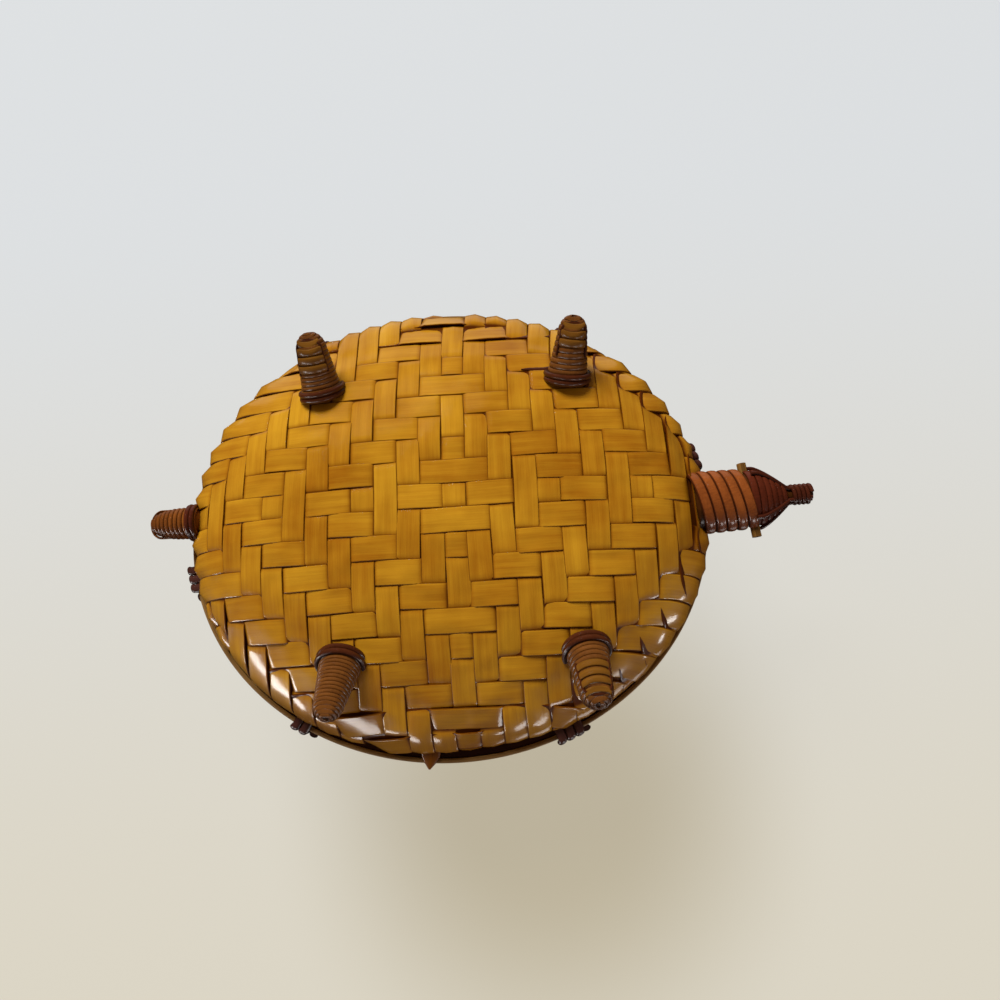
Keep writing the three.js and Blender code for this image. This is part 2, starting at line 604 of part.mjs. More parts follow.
add(base, 'ear_peg', turned(earLine, [[-EAR_SPAN / 2, EAR_RADIUS], [EAR_SPAN / 2, EAR_RADIUS]], 10), 'neck');

// Head: a cone that ends in a thin snout, wound at its wide end
const headStart = neckEnd + SEAT_GAP;
const snoutStart = headStart + HEAD_LENGTH;
const snoutEnd = snoutStart + SNOUT_LENGTH;
const headRadius = (s) => THREE.MathUtils.mapLinear(s, headStart, snoutStart, NECK_END_RADIUS, SNOUT_RADIUS);
const headWrapEnd = headStart + windingLength(HEAD_TURNS, HEAD_CANE_WIDTH);
add(base, 'head_core', turned(neckLine, [[headStart, NECK_END_RADIUS], [snoutStart, SNOUT_RADIUS],
  [snoutEnd, SNOUT_RADIUS]]), 'core');
const headSlope = (NECK_END_RADIUS - SNOUT_RADIUS) / HEAD_LENGTH;
const headWrapLift = headSlope * HEAD_CANE_WIDTH / 2;
add(base, 'head_wrap', winding('head_wrap', neckLine, headStart, HEAD_TURNS,
  (s) => headRadius(s) + headWrapLift, HEAD_CANE_WIDTH, HEAD_CANE_THICKNESS, WIDE_LOOP_STEPS), 'neck');

// Strands along the cheeks: over the winding, then in to the snout
const strandSeat = STRAND / 2 + SEAT_GAP / NECK_FLATTEN;
const overWrap = (s) => headRadius(s) + 2 * headWrapLift + HEAD_CANE_THICKNESS / NECK_FLATTEN
  + SEAT_GAP + strandSeat;
const strandStart = headStart + STRAND;
const strandPath = [[strandStart, overWrap(strandStart)], [headWrapEnd + STRAND, overWrap(headWrapEnd)],
  [snoutStart + STRAND, SNOUT_RADIUS + strandSeat], [snoutEnd - STRAND, SNOUT_RADIUS + strandSeat]];
for (let i = 0; i < 2 * STRANDS_PER_CHEEK; i += 1) {
  const cheek = Math.floor(i / STRANDS_PER_CHEEK) * Math.PI;
  const angle = cheek + radians(((i % STRANDS_PER_CHEEK) - (STRANDS_PER_CHEEK - 1) / 2) * STRAND_SPREAD);
  const out = neckLine.outward(angle);
  const across = neckLine.along.clone().cross(out);
  const path = strandPath.map(([s, radius]) => ({ point: neckLine.at(s, radius, angle), across, out }));
  add(base, `head_strand_${i + 1}`, cane(path, ROUND_CANE, STRAND, STRAND).geometry, 'strand');
}
const bindingRadius = SNOUT_RADIUS + 2 * strandSeat;
const bindingStart = snoutEnd - windingLength(SNOUT_TURNS, SNOUT_CANE_WIDTH) - SEAT_GAP;
add(base, 'snout_binding', winding('snout_binding', neckLine, bindingStart, SNOUT_TURNS, () => bindingRadius,
  SNOUT_CANE_WIDTH, SNOUT_CANE_THICKNESS, LOOP_STEPS), 'strand');

// Tail: a wound stub with a rounded end and a tenon through the bowl's tail end
const tailZ = RIM_Z - TAIL_DROP;
const tailStart = BODY_HALF_LENGTH + TAIL_STANDOFF;
const tailLine = axis(vector(0, TAIL_SIDE, tailZ), vector(-1, 0, 0), vector(0, 1, 0));
const tailWrapEnd = tailStart + windingLength(TAIL_TURNS, TAIL_CANE_WIDTH);
const tailEnd = tailWrapEnd + TAIL_TIP_LENGTH;
const tailTenonEnd = headWall(tailZ - TAIL_TENON_RADIUS) - WALL - TENON_REACH;
const tailOuter = turned(tailLine, [[tailTenonEnd, TAIL_RADIUS], [tailWrapEnd, TAIL_RADIUS],
  [tailEnd - TAIL_TIP_LENGTH / 3, 0.8 * TAIL_RADIUS], [tailEnd, 0.4 * TAIL_RADIUS]]);
const tailTenon = turned(tailLine, [[tailTenonEnd, TAIL_TENON_RADIUS], [tailStart, TAIL_TENON_RADIUS]]);
bowlHoles.push(turned(tailLine, [[tailTenonEnd, TAIL_TENON_RADIUS + HOLE_GAP],
  [tailStart, TAIL_TENON_RADIUS + HOLE_GAP]]));
add(base, 'tail_core', join(cut(tailOuter, [bowlClearance]), tailTenon), 'core');
add(base, 'tail_wrap', winding('tail_wrap', tailLine, tailStart, TAIL_TURNS, () => TAIL_RADIUS,
  TAIL_CANE_WIDTH, TAIL_CANE_THICKNESS, LOOP_STEPS), 'leg');
add(base, 'tail_tie', winding('tail_tie', tailLine, tailTenonEnd + SEAT_GAP, TIE_TURNS,
  () => TAIL_TENON_RADIUS, TIE_CANE, TIE_CANE, TIE_STEPS), 'leg');

add(base, 'belly_shell', cut(shell(bowl, belowRim, WEAVE_AHEAD, WEAVE_LEFT), bowlHoles), 'weave');

// Lid: dome, hoop and lashings, with a collar that drops inside the bowl's lashings
const lidHoopInner = grown(BODY_EDGE, SEAT_GAP);
const lidHoopOuter = grown(lidHoopInner, LID_HOOP_THICKNESS);
const lidSlots = [];
add(lid, 'lid_hoop', band(lidHoopInner, lidHoopOuter, LID_EDGE_Z, LID_HOOP_HEIGHT), 'hoop');
const lidInsides = LID_LASH_ANGLES.map((degrees, i) => {
  const frame = rimFrame(degrees);
  const inside = innerFace(back, frame, LID_HOOP_HEIGHT);
  const outside = frame.reach(lidHoopOuter);
  const name = `lid_lashing_${i + 1}`;
  add(lid, name, lashing(name, frame, inside, outside, LID_EDGE_Z, LID_HOOP_HEIGHT), 'lashing');
  lidSlots.push(lashSlot(frame, LID_EDGE_Z + LID_HOOP_HEIGHT + LASH_OFFSET));
  return inside;
});
add(lid, 'lid_shell', cut(shell(back, aboveEdge, 0, 0), lidSlots), 'weave');
const collarInset = Math.max(...rimInsides, ...lidInsides) + SEAT_GAP + LASH_CANE + COLLAR_GAP;
const collarOuter = grown(BODY_EDGE, -collarInset);
add(lid, 'lid_collar', band(grown(collarOuter, -COLLAR_THICKNESS), collarOuter, RIM_Z - COLLAR_DROP,
  COLLAR_DROP + COLLAR_RISE), 'hoop');

// The origin lies on the ground under the middle of the whole length and of the hoop's width
basket.position.set((tailEnd - snoutEnd) / 2, -HOOP_SHIFT_LEFT, 0);
const triangles = parts.reduce((sum, mesh) => sum + mesh.geometry.getIndex().count / 3, 0);
console.log(`${parts.length} pieces, ${triangles} triangles`);
const height = LID_EDGE_Z + LID_HEIGHT;
console.log(`length ${(tailEnd + snoutEnd).toFixed(1)} mm, height ${height.toFixed(1)} mm`);

export default basket;
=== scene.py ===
# %% [markdown]
# # A woven armadillo basket
# This lesson dresses a lidded basket in the shape of an armadillo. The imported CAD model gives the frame:
# two bodies, the base and the lid, and the place of every limb. Blender adds what the frame leaves out: the
# twill weave, the cane windings and the finish of each surface. Everything is in metres, in the frame's own
# axes: the feet stand at z = 0, the snout points along +X and the animal's left side is +Y.

# %% The fixed frame
import math

import bmesh
import bpy
import numpy as np
from mathutils import Matrix, Vector


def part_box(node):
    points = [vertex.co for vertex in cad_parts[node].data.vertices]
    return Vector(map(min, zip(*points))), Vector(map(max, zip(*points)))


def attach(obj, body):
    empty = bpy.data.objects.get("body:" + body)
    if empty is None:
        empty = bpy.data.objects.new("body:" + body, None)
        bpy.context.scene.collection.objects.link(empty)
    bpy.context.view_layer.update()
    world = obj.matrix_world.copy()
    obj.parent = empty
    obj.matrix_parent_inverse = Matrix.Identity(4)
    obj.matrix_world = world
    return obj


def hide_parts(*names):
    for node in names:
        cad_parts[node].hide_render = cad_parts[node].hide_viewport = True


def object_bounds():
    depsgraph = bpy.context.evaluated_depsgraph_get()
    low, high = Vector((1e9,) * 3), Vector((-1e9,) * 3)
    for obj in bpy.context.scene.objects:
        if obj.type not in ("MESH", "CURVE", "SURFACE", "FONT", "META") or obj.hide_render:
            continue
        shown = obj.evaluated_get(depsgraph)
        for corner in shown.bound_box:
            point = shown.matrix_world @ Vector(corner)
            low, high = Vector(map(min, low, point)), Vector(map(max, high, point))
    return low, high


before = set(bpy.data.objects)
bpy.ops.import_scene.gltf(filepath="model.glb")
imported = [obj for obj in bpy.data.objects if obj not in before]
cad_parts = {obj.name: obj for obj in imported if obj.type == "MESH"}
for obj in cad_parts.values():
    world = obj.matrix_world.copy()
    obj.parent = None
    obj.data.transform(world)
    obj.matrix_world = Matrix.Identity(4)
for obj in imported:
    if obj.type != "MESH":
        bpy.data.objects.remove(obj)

MM = 0.001
cad_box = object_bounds()


def linked(name, data):
    """A new object in the scene."""
    thing = bpy.data.objects.new(name, data)
    bpy.context.scene.collection.objects.link(thing)
    return thing


# %% [markdown]
# ## Camera
# The basket was photographed lying on its back by a phone held over its belly. The model stands on its
# feet, so the camera sits under the belly and looks up. Its place and aim were worked out from the rim's
# ellipse, the legs and the weave. The lens is a phone's wide one, which makes the near side of the bowl
# look larger than the far side.

# %% The camera under the belly
LENS = 27.04
SENSOR = 36.0
CAMERA_PLACE = Vector((18.44, 58.61, -249.04)) * MM
CAMERA_AIM = Vector((8.54, -8.49, 35.0)) * MM
CAMERA_ROLL = math.radians(-2.82)


def make_camera():
    lens = bpy.data.cameras.new("camera")
    lens.lens = LENS
    lens.sensor_width = SENSOR
    holder = linked("camera", lens)
    ahead = (CAMERA_AIM - CAMERA_PLACE).normalized()
    right = ahead.cross(Vector((0, -1, 0))).normalized()
    turn = Matrix.Rotation(CAMERA_ROLL, 3, -ahead)
    right = turn @ right
    up = right.cross(ahead)
    holder.matrix_world = Matrix((right, up, -ahead)).transposed().to_4x4()
    holder.location = CAMERA_PLACE
    bpy.context.scene.camera = holder


make_camera()
print("camera looks along", [round(x, 3) for x in (CAMERA_AIM - CAMERA_PLACE).normalized()])

# %% [markdown]
# ## Wires and nodes
# Shader maths reads best as arithmetic. `Wire` wraps one socket of a node tree, so `1 - wire` or `wire * 2`
# adds the Math node for it. `Nodes.add` makes every other node: it sets the node's own settings first and
# then its sockets. The same two classes serve the materials and the geometry trees.

# %% A wire that does arithmetic
class Wire:
    def __init__(self, nodes, socket):
        self.nodes = nodes
        self.socket = socket

    def math(self, operation, *values):
        return self.nodes.add("ShaderNodeMath", {"operation": operation}, dict(enumerate(values)))

    def __add__(self, other):
        return self.math("ADD", self, other)

    def __sub__(self, other):
        return self.math("SUBTRACT", self, other)

    def __rsub__(self, other):
        return self.math("SUBTRACT", other, self)

    def __mul__(self, other):
        return self.math("MULTIPLY", self, other)

    def __truediv__(self, other):
        return self.math("DIVIDE", self, other)

    def __pow__(self, other):
        return self.math("POWER", self, other)

    def __abs__(self):
        return self.math("ABSOLUTE", self)

    __radd__ = __add__
    __rmul__ = __mul__

    def ramp(self, low, high):
        """0 at low, 1 at high, with a soft start and end."""
        return self.nodes.add("ShaderNodeMapRange", {"interpolation_type": "SMOOTHSTEP"},
                              {"Value": self, "From Min": low, "From Max": high})


class Nodes:
    def __init__(self, tree):
        self.tree = tree

    def add(self, kind, settings=None, sockets=None, out=0):
        node = self.tree.nodes.new(kind)
        for name, value in (settings or {}).items():
            setattr(node, name, value)
        for name, value in (sockets or {}).items():
            if isinstance(value, Wire):
                self.tree.links.new(value.socket, node.inputs[name])
            else:
                node.inputs[name].default_value = value
        return Wire(self, node.outputs[out]) if node.outputs else node

    def mix(self, share, one, other):
        """A colour between one and other."""
        settings = {"data_type": "RGBA", "clamp_factor": True}
        return self.add("ShaderNodeMix", settings, {0: share, 6: one, 7: other}, out=2)


def fresh_nodes(owner):
    """The emptied node tree of a material or a world."""
    owner.use_nodes = True
    owner.node_tree.nodes.clear()
    return Nodes(owner.node_tree)


def colour(red, green, blue):
    """A colour written as it looks on a screen, from 0 to 255, as the linear values that nodes take."""
    def linear(value):
        value = value / 255
        return value / 12.92 if value <= 0.04045 else ((value + 0.055) / 1.055) ** 2.4
    return (linear(red), linear(green), linear(blue), 1.0)


print("white is", colour(255, 255, 255))

# %% [markdown]
# ## A sweep for cane and strips
# Nearly every piece here is a strip or a cane that follows a path: over and under in the weave, round a leg
# in a winding, round the rim in a lashing. One geometry tree makes them all. The path is a chain of edges
# that carries, at each point, which way the cane faces and how wide it is there. The tree turns the chain
# into a curve, runs a small round-cornered section along it, and puts each point of the section where the
# path's own directions say.

# %% The sweep tree
def sweep_tree():
    tree = bpy.data.node_groups.new("cane_sweep", "GeometryNodeTree")
    face = tree.interface
    face.new_socket("Geometry", in_out="INPUT", socket_type="NodeSocketGeometry")
    for label in ("Width", "Thickness", "Squareness"):
        face.new_socket(label, in_out="INPUT", socket_type="NodeSocketFloat")
    face.new_socket("Sides", in_out="INPUT", socket_type="NodeSocketInt")
    face.new_socket("Finish", in_out="INPUT", socket_type="NodeSocketMaterial")
    face.new_socket("Geometry", in_out="OUTPUT", socket_type="NodeSocketGeometry")
    nodes = Nodes(tree)
    given = tree.nodes.new("NodeGroupInput")
    geometry, width, thickness, squareness, sides, finish = (Wire(nodes, given.outputs[i]) for i in range(6))

    def stored(shape, label, kind, value, domain="POINT"):
        settings = {"data_type": kind, "domain": domain}
        return nodes.add("GeometryNodeStoreNamedAttribute", settings,
                         {"Geometry": shape, "Name": label, "Value": value})

    def named(label, kind):
        return nodes.add("GeometryNodeInputNamedAttribute", {"data_type": kind}, {"Name": label})

    def vectors(operation, *values, **sockets):
        sockets.update(enumerate(values))
        return nodes.add("ShaderNodeVectorMath", {"operation": operation}, sockets)

    path = nodes.add("GeometryNodeMeshToCurve", None, {"Mesh": geometry})
    path = stored(path, "centre", "FLOAT_VECTOR", nodes.add("GeometryNodeInputPosition"))
    section = nodes.add("GeometryNodeCurvePrimitiveCircle", {"mode": "RADIUS"}, {"Resolution": sides})
    angle = nodes.add("GeometryNodeInputIndex") * math.tau / sides
    for label, wave in (("across", "COSINE"), ("rise", "SINE")):
        value = angle.math(wave, angle)
        section = stored(section, label, "FLOAT", 0.5 * value.math("SIGN", value) * abs(value) ** squareness)
    solid = nodes.add("GeometryNodeCurveToMesh", None,
                      {"Curve": path, "Profile Curve": section, "Fill Caps": True})
    across = named("across", "FLOAT")
    sideways = vectors("SCALE", named("side", "FLOAT_VECTOR"), Scale=across * named("share", "FLOAT") * width)
    upward = vectors("SCALE", named("out", "FLOAT_VECTOR"),
                     Scale=named("rise", "FLOAT") * named("depth", "FLOAT") * thickness
                     + named("crown", "FLOAT") * (1 - 4 * across * across))
    place = vectors("ADD", named("centre", "FLOAT_VECTOR"), vectors("ADD", sideways, upward))
    solid = nodes.add("GeometryNodeSetPosition", None, {"Geometry": solid, "Position": place})
    flat = nodes.add("ShaderNodeCombineXYZ", None,
                     {"X": named("along", "FLOAT"), "Y": across * width})
    solid = stored(solid, "UVMap", "FLOAT2", flat, "CORNER")
    solid = nodes.add("GeometryNodeSetShadeSmooth", None, {"Geometry": solid})
    solid = nodes.add("GeometryNodeRealizeInstances", None, {"Geometry": solid})
    solid = nodes.add("GeometryNodeSetMaterial", None, {"Geometry": solid, "Material": finish})
    nodes.add("NodeGroupOutput", None, {0: solid})
    return tree


SWEEP = sweep_tree()
SWEEP_INPUTS = {item.name: item.identifier for item in SWEEP.interface.items_tree if item.in_out == "INPUT"}
print("sweep tree:", len(SWEEP.nodes), "nodes")

# %% Paths, and a piece made from them
FIELDS = {"out": "FLOAT_VECTOR", "side": "FLOAT_VECTOR", "share": "FLOAT", "depth": "FLOAT", "along": "FLOAT",
          "tone": "FLOAT", "lift": "FLOAT", "crown": "FLOAT"}


def unit(rows):
    return rows / np.linalg.norm(rows, axis=-1, keepdims=True)


def lengths_along(points):
    """How far along its chain each point lies."""
    return np.concatenate([[0], np.cumsum(np.linalg.norm(np.diff(points, axis=0), axis=1))])


def path(points, out, closed=False, share=1.0, depth=1.0, tone=0.5, lift=1.0, crown=0.0):
    """A chain of points with the directions and values that the sweep reads at each of them."""
    points = np.asarray(points, float)
    ahead = np.roll(points, -1, 0) - np.roll(points, 1, 0) if closed else np.gradient(points, axis=0)
    side = unit(np.cross(out, ahead))
    values = {"share": share, "depth": depth, "tone": tone, "lift": lift, "crown": crown}
    return {"points": points, "out": unit(np.cross(ahead, side)), "side": side, "closed": closed,
            "along": lengths_along(points),
            **{field: np.broadcast_to(value, len(points)) for field, value in values.items()}}


def chain_object(name, paths):
    edges, start = [], 0
    for one in paths:
        count = len(one["points"])
        index = np.arange(start, start + count)
        edges.append(np.column_stack([index[:-1], index[1:]]))
        if one["closed"]:
            edges.append(np.array([[index[-1], index[0]]]))
        start += count
    mesh = bpy.data.meshes.new(name)
    mesh.from_pydata(np.concatenate([one["points"] for one in paths]), np.concatenate(edges), [])
    for field, kind in FIELDS.items():
        values = np.concatenate([one[field] for one in paths]).astype(np.float32)
        key = "vector" if kind == "FLOAT_VECTOR" else "value"
        mesh.attributes.new(field, kind, "POINT").data.foreach_set(key, values.ravel())
    return linked(name, mesh)


def cane(name, paths, width, thickness, finish, body, replaces=(), squareness=1.0, sides=8):
    """One piece of swept cane that rides on a body and stands for CAD nodes."""
    piece = chain_object(name, paths)
    sweep = piece.modifiers.new("sweep", "NODES")
    sweep.node_group = SWEEP
    values = {"Width": width, "Thickness": thickness, "Squareness": squareness, "Sides": sides,
              "Finish": finish}
    for label, value in values.items():
        sweep[SWEEP_INPUTS[label]] = value
    depsgraph = bpy.context.evaluated_depsgraph_get()
    mesh = bpy.data.meshes.new_from_object(piece.evaluated_get(depsgraph))
    piece.modifiers.clear()
    piece.data = mesh
    for label in ("centre", "out", "side", "share", "depth", "crown"):
        mesh.attributes.remove(mesh.attributes[label])
    point_outwards(mesh)
    return dressed(piece, body, replaces)


def point_outwards(mesh):
    work = bmesh.new()
    work.from_mesh(mesh)
    bmesh.ops.recalc_face_normals(work, faces=work.faces)
    work.to_mesh(mesh)
    work.free()


def dressed(piece, body, replaces=()):
    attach(piece, body)
    if replaces:
        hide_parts(*replaces)
    print(f"{piece.name}: {len(piece.data.polygons)} faces on {body}")
    return piece


print("a path carries", ", ".join(FIELDS))

# %% [markdown]
# ## Finishes
# All of the basket is bamboo and cane under a clear varnish, so one recipe serves: a light and a dark shade
# drawn out along the grain, a tone of its own for each strip, dark seams at the edges and where a strip dives
# under its neighbour, which are partly stain and partly painted shade in the gaps, a painted shade that
# deepens as a strip sinks into a dive, and fine fibres in the roughness and the bump. The grain reads the
# strip's own UV map, so it follows every strip, and the clouds of the stain read Object coordinates, so they
# run on from strip to strip.

# %% The cane recipe
FIBRES = (90.0, 2600.0)
STREAKS = (22.0, 420.0)
BUCKLES = (60.0, 90.0)
CLOUDS = 42.0
ROUGHNESS = 0.4
BUMP_HEIGHT = 0.3 * MM


def cane_finish(name, light, dark, seam, varnish=0.2, edge=0.44, line=0.6, variety=0.35, buckling=0.0,
                gloss=0.16, faces=1):
    """Shades as they look on a screen. Edge and line set the dark seam; faces is 2 where insides show."""
    light, dark, seam = colour(*light), colour(*dark), colour(*seam)
    material = bpy.data.materials.new(name)
    nodes = fresh_nodes(material)

    def noise(scale, seed, detail=2.0):
        flat = nodes.add("ShaderNodeUVMap", {"uv_map": "UVMap"})
        vector = nodes.add("ShaderNodeVectorMath", {"operation": "MULTIPLY_ADD"},
                           {0: flat, 1: (*scale, 1.0), 2: offset(seed)})
        return nodes.add("ShaderNodeTexNoise", None, {"Vector": vector, "Scale": 1.0, "Detail": detail})

    def attribute(label):
        return nodes.add("ShaderNodeAttribute", {"attribute_name": label}, out=2)

    def offset(seed):
        return nodes.add("ShaderNodeCombineXYZ", None, {"Z": tone * 40.0 + seed})

    tone = attribute("tone")
    fibre = noise(FIBRES, 0.0)
    streak = noise(STREAKS, 7.0)
    cloud = nodes.add("ShaderNodeTexNoise", None,
                      {"Vector": nodes.add("ShaderNodeTexCoord", out=3), "Scale": CLOUDS, "Detail": 4.0})
    # Streaks, fibres, the strip's own tone and the clouds of the stain share out light and dark
    share = 0.75 * streak + 0.4 * fibre + variety * tone + 1.3 * cloud - (0.72 + variety / 2)
    shade = nodes.mix(share, light, dark)
    edges = abs(attribute("across")).ramp(edge, edge / 2 + 0.25)
    lift = attribute("lift") * (2 * attribute("rise")) if faces == 2 else attribute("lift")
    # Dark seams along the edges and wherever the strip dives: partly stain, partly painted shade in the gaps
    seam_stain_and_shade = edges.math("MAXIMUM", edges * line, lift.ramp(0.5, -0.3))
    # Painted shade: the strip grows darker as it bends away from the light into a dive
    shade = nodes.mix(0.6 * lift.ramp(1.1, 0.2), shade, dark)
    shade = nodes.mix(seam_stain_and_shade, shade, seam)
    buckle = noise(BUCKLES, 19.0, 1.0)
    height = fibre * 0.6 + streak + buckle * buckling
    bump = nodes.add("ShaderNodeBump", None, {"Strength": 0.25, "Distance": BUMP_HEIGHT, "Height": height})
    shader = nodes.add("ShaderNodeBsdfPrincipled", None, {
        "Base Color": shade, "Roughness": ROUGHNESS + 0.16 * (streak - 0.5) + 0.2 * seam_stain_and_shade,
        "Specular IOR Level": 0.12, "Coat Weight": varnish * (1 - edges), "Coat Roughness": gloss,
        "Normal": bump})
    nodes.add("ShaderNodeOutputMaterial", None, {"Surface": shader})
    return material


print("grain: fibres", round(FIBRES[1] / FIBRES[0]), "and streaks", round(STREAKS[1] / STREAKS[0]), "to 1")

# %% One finish for each kind of cane
# The weave's seam colour: stain and painted shade in the gaps between strips
SEAM = (82, 35, 2)
WEAVE = cane_finish("weave_bamboo", (205, 150, 34), (151, 90, 10), SEAM, varnish=0.7, edge=0.462, line=0.8,
                    variety=0.2, buckling=30.0, gloss=0.14, faces=2)
# The chink sheet's colour is painted shade: strips seen in shade through the chinks
CHINK_SHADE = cane_finish("chink_shade", (132, 78, 12), (96, 50, 6), SEAM)
HOOP = cane_finish("hoop_bamboo", (190, 152, 92), (138, 102, 54), (90, 58, 26))
# The filler is dark brown cane; its near-black is painted shade, the gap between the weave and the hoop
FILLER_CANE_AND_SHADE = cane_finish("filler_cane", (58, 26, 10), (32, 12, 4), (20, 7, 3))
LASHING = cane_finish("lashing_cane", (84, 50, 42), (48, 24, 20), (26, 10, 9), varnish=0.5)
LEG_CANE = cane_finish("leg_cane", (128, 78, 32), (76, 41, 15), (38, 16, 7), varnish=0.35, line=0.4,
                       gloss=0.24)
FOOT_CANE = cane_finish("foot_cane", (132, 88, 28), (94, 56, 15), (44, 22, 6), varnish=0.35, gloss=0.24)
RING_CANE = cane_finish("ring_cane", (88, 42, 20), (48, 20, 10), (28, 10, 6), varnish=0.4, gloss=0.2)
CORE = cane_finish("core_bamboo", (84, 46, 16), (50, 25, 8), (50, 25, 8))
NECK_CANE = cane_finish("neck_cane", (158, 86, 36), (98, 46, 18), (54, 20, 9), varnish=0.5, edge=0.36,
                        line=0.8)
HEAD_CANE = cane_finish("head_cane", (104, 44, 24), (62, 24, 13), (40, 15, 8), varnish=0.3, line=0.4,
                        gloss=0.24)
STRAND_CANE = cane_finish("strand_cane", (86, 38, 22), (50, 20, 11), (26, 9, 6), varnish=0.5)
EAR_BAMBOO = cane_finish("ear_bamboo", (146, 106, 52), (104, 70, 30), (70, 46, 20))
TAIL_CANE = cane_finish("tail_cane", (140, 80, 30), (86, 44, 16), (36, 16, 6), varnish=0.5)
print("finishes:", len(bpy.data.materials))

# %% [markdown]
# ## The twill weave
# The belly is plaited from flat bamboo strips, about 8 mm wide. One set runs along the animal and the other
# across it, and each strip passes over two and under two. The count starts again at the middle, so the
# floats draw diamonds inside diamonds. A texture could fake this, but real strips give the true stepped
# edges and outline, so each strip is a path on the bowl's surface that rises and dips along the surface's
# normal. On the wall under the hoop the strips are looser: they swell out, and where the wall turns over
# the edge the strips that run down it lie on top and curl. Past its last crossing a strip comes up again,
# because nothing covers it there. A thin sheet in the middle of the weave closes the chinks; its colour is
# painted shade, that of strips seen in shade beneath.

# %% Surfaces of the bowl and the lid
class Dome:
    """Half of an egg round a CAD shell: an ellipse at the rim and a profile of its own fullness."""

    def __init__(self, node, fullness, facing, inset, swelling=0.0):
        low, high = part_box(node)
        self.middle = np.array([(low.x + high.x) / 2, (low.y + high.y) / 2])
        self.length = (high.x - low.x) / 2 - inset
        self.width = (high.y - low.y) / 2 - inset
        self.height = high.z - low.z - inset
        self.rim = low.z if facing > 0 else high.z
        self.facing = facing
        self.swelling = swelling
        self.head_fullness, self.tail_fullness, self.side_fullness = fullness

    def power(self, x, y):
        bearing = np.arctan2(y / self.width, x / self.length)
        end = np.where(x > 0, self.head_fullness, self.tail_fullness)
        return self.side_fullness + (end - self.side_fullness) * np.cos(bearing) ** 2

    def rise(self, x, y):
        power = self.power(x, y)
        reach = np.hypot(x / self.length, y / self.width)
        return self.height * np.clip(1 - reach ** power, 0, 1) ** (1 / power)

    def point(self, x, y):
        height = self.rim + self.facing * self.rise(x, y)
        return np.column_stack([self.middle[0] + x, self.middle[1] + y, height])

    def normal(self, x, y):
        power = self.power(x, y)
        reach = np.maximum(np.hypot(x / self.length, y / self.width), 1e-6)
        slope = reach ** (power - 2)
        up = self.facing * (self.rise(x, y) / self.height) ** (power - 1) / self.height
        return unit(np.column_stack([slope * x / self.length ** 2, slope * y / self.width ** 2, up]))

    def cut(self, place, lengthwise):
        """x and y, evenly spaced along the surface, where an upright plane cuts the dome."""
        own, other = (self.length, self.width) if lengthwise else (self.width, self.length)
        end = own * math.sqrt(max(0, 1 - (place / other) ** 2))
        run = end * np.sin(np.linspace(-math.pi / 2, math.pi / 2, 600))
        still = np.full_like(run, place)
        x, y = (run, still) if lengthwise else (still, run)
        return x, y, lengths_along(self.point(x, y))


STRIP_INSET = 0.9 * MM
SWELLING = 2.2 * MM
BOWL = Dome("belly_shell", (3.4, 2.7, 2.0), -1, STRIP_INSET, SWELLING)
BACK = Dome("lid_shell", (2.25, 2.25, 2.25), 1, STRIP_INSET)
print("bowl half sizes", round(BOWL.length, 4), round(BOWL.width, 4), "depth", round(BOWL.height, 4))

# %% Where the strips lie
COLUMN_PITCH = 8.25 * MM
ROW_PITCH = 8.75 * MM


def strip_places(dome, start, pitch, lengthwise):
    """Where strips that run one way lie: a pitch apart along the dome's middle cut the other way."""
    x, y, along = dome.cut(0.0, not lengthwise)
    across = y if lengthwise else x
    middle = np.interp(start, across, along)
    first = -int(middle // pitch)
    numbers = np.arange(first, int((along[-1] - middle) // pitch) + 1)
    return {int(i): float(np.interp(middle + i * pitch, along, across)) for i in numbers}


print("strips along the bowl:", len(strip_places(BOWL, 0.0, ROW_PITCH, True)))

# %% Loose strips on the wall
SWELL_BEARINGS = (-180, -150, -120, -90, -60, -10, 20, 50, 65, 82, 100, 130, 160, 180)
SWELL_SHARES = (0.0, 0.7, 1.0, 1.3, 1.2, 1.2, 1.7, 1.4, 1.3, 0.7, 1.3, 1.1, 0.4, 0.0)
SWELL_LEVELS = (0.05, 0.2, 0.25, 0.65)
EDGE_BEARINGS = (-180, -125, -90, -55, 0, 40, 65, 115, 140, 180)
EDGE_SHARES = (1.0, 0.9, 0.4, 0.8, 0.7, 0.35, 0.25, 0.25, 0.35, 1.0)
EDGE_LEVELS = (0.03, 0.15, 0.34, 0.6)
END_SHARE = 0.35
END_BLEND = 0.15


def ease(values, low, high):
    """0 at low, 1 at high, with a soft start and end."""
    share = np.clip((values - low) / (high - low), 0, 1)
    return share * share * (3 - 2 * share)


def band(level, levels):
    """1 between the two middle levels, easing to 0 at the outer two."""
    low, full, fading, high = levels
    return ease(level, low, full) * (1 - ease(level, fading, high))


def loosened(dome, x, y, out):
    """How loosely the strips lie on the wall under the hoop, and how far they swell out there."""
    level = dome.rise(x, y) / dome.height
    bearing = np.degrees(np.arctan2(out[:, 1], out[:, 0]))
    wall = band(level, EDGE_LEVELS) * np.interp(bearing, EDGE_BEARINGS, EDGE_SHARES)
    return wall, dome.swelling * band(level, SWELL_LEVELS) * np.interp(bearing, SWELL_BEARINGS, SWELL_SHARES)


def over_edge(dome, x, y, lengthwise):
    """From -1 to 1: how clearly strips that run this way lie on top where the wall turns over the edge."""
    out = dome.normal(x, y)
    flat = np.maximum(out[:, 0] ** 2 + out[:, 1] ** 2, 1e-9)
    ends = np.clip((out[:, 0] ** 2 / flat - END_SHARE) / END_BLEND, -1, 1)
    return loosened(dome, x, y, out)[0] * ends * (1 if lengthwise else -1)


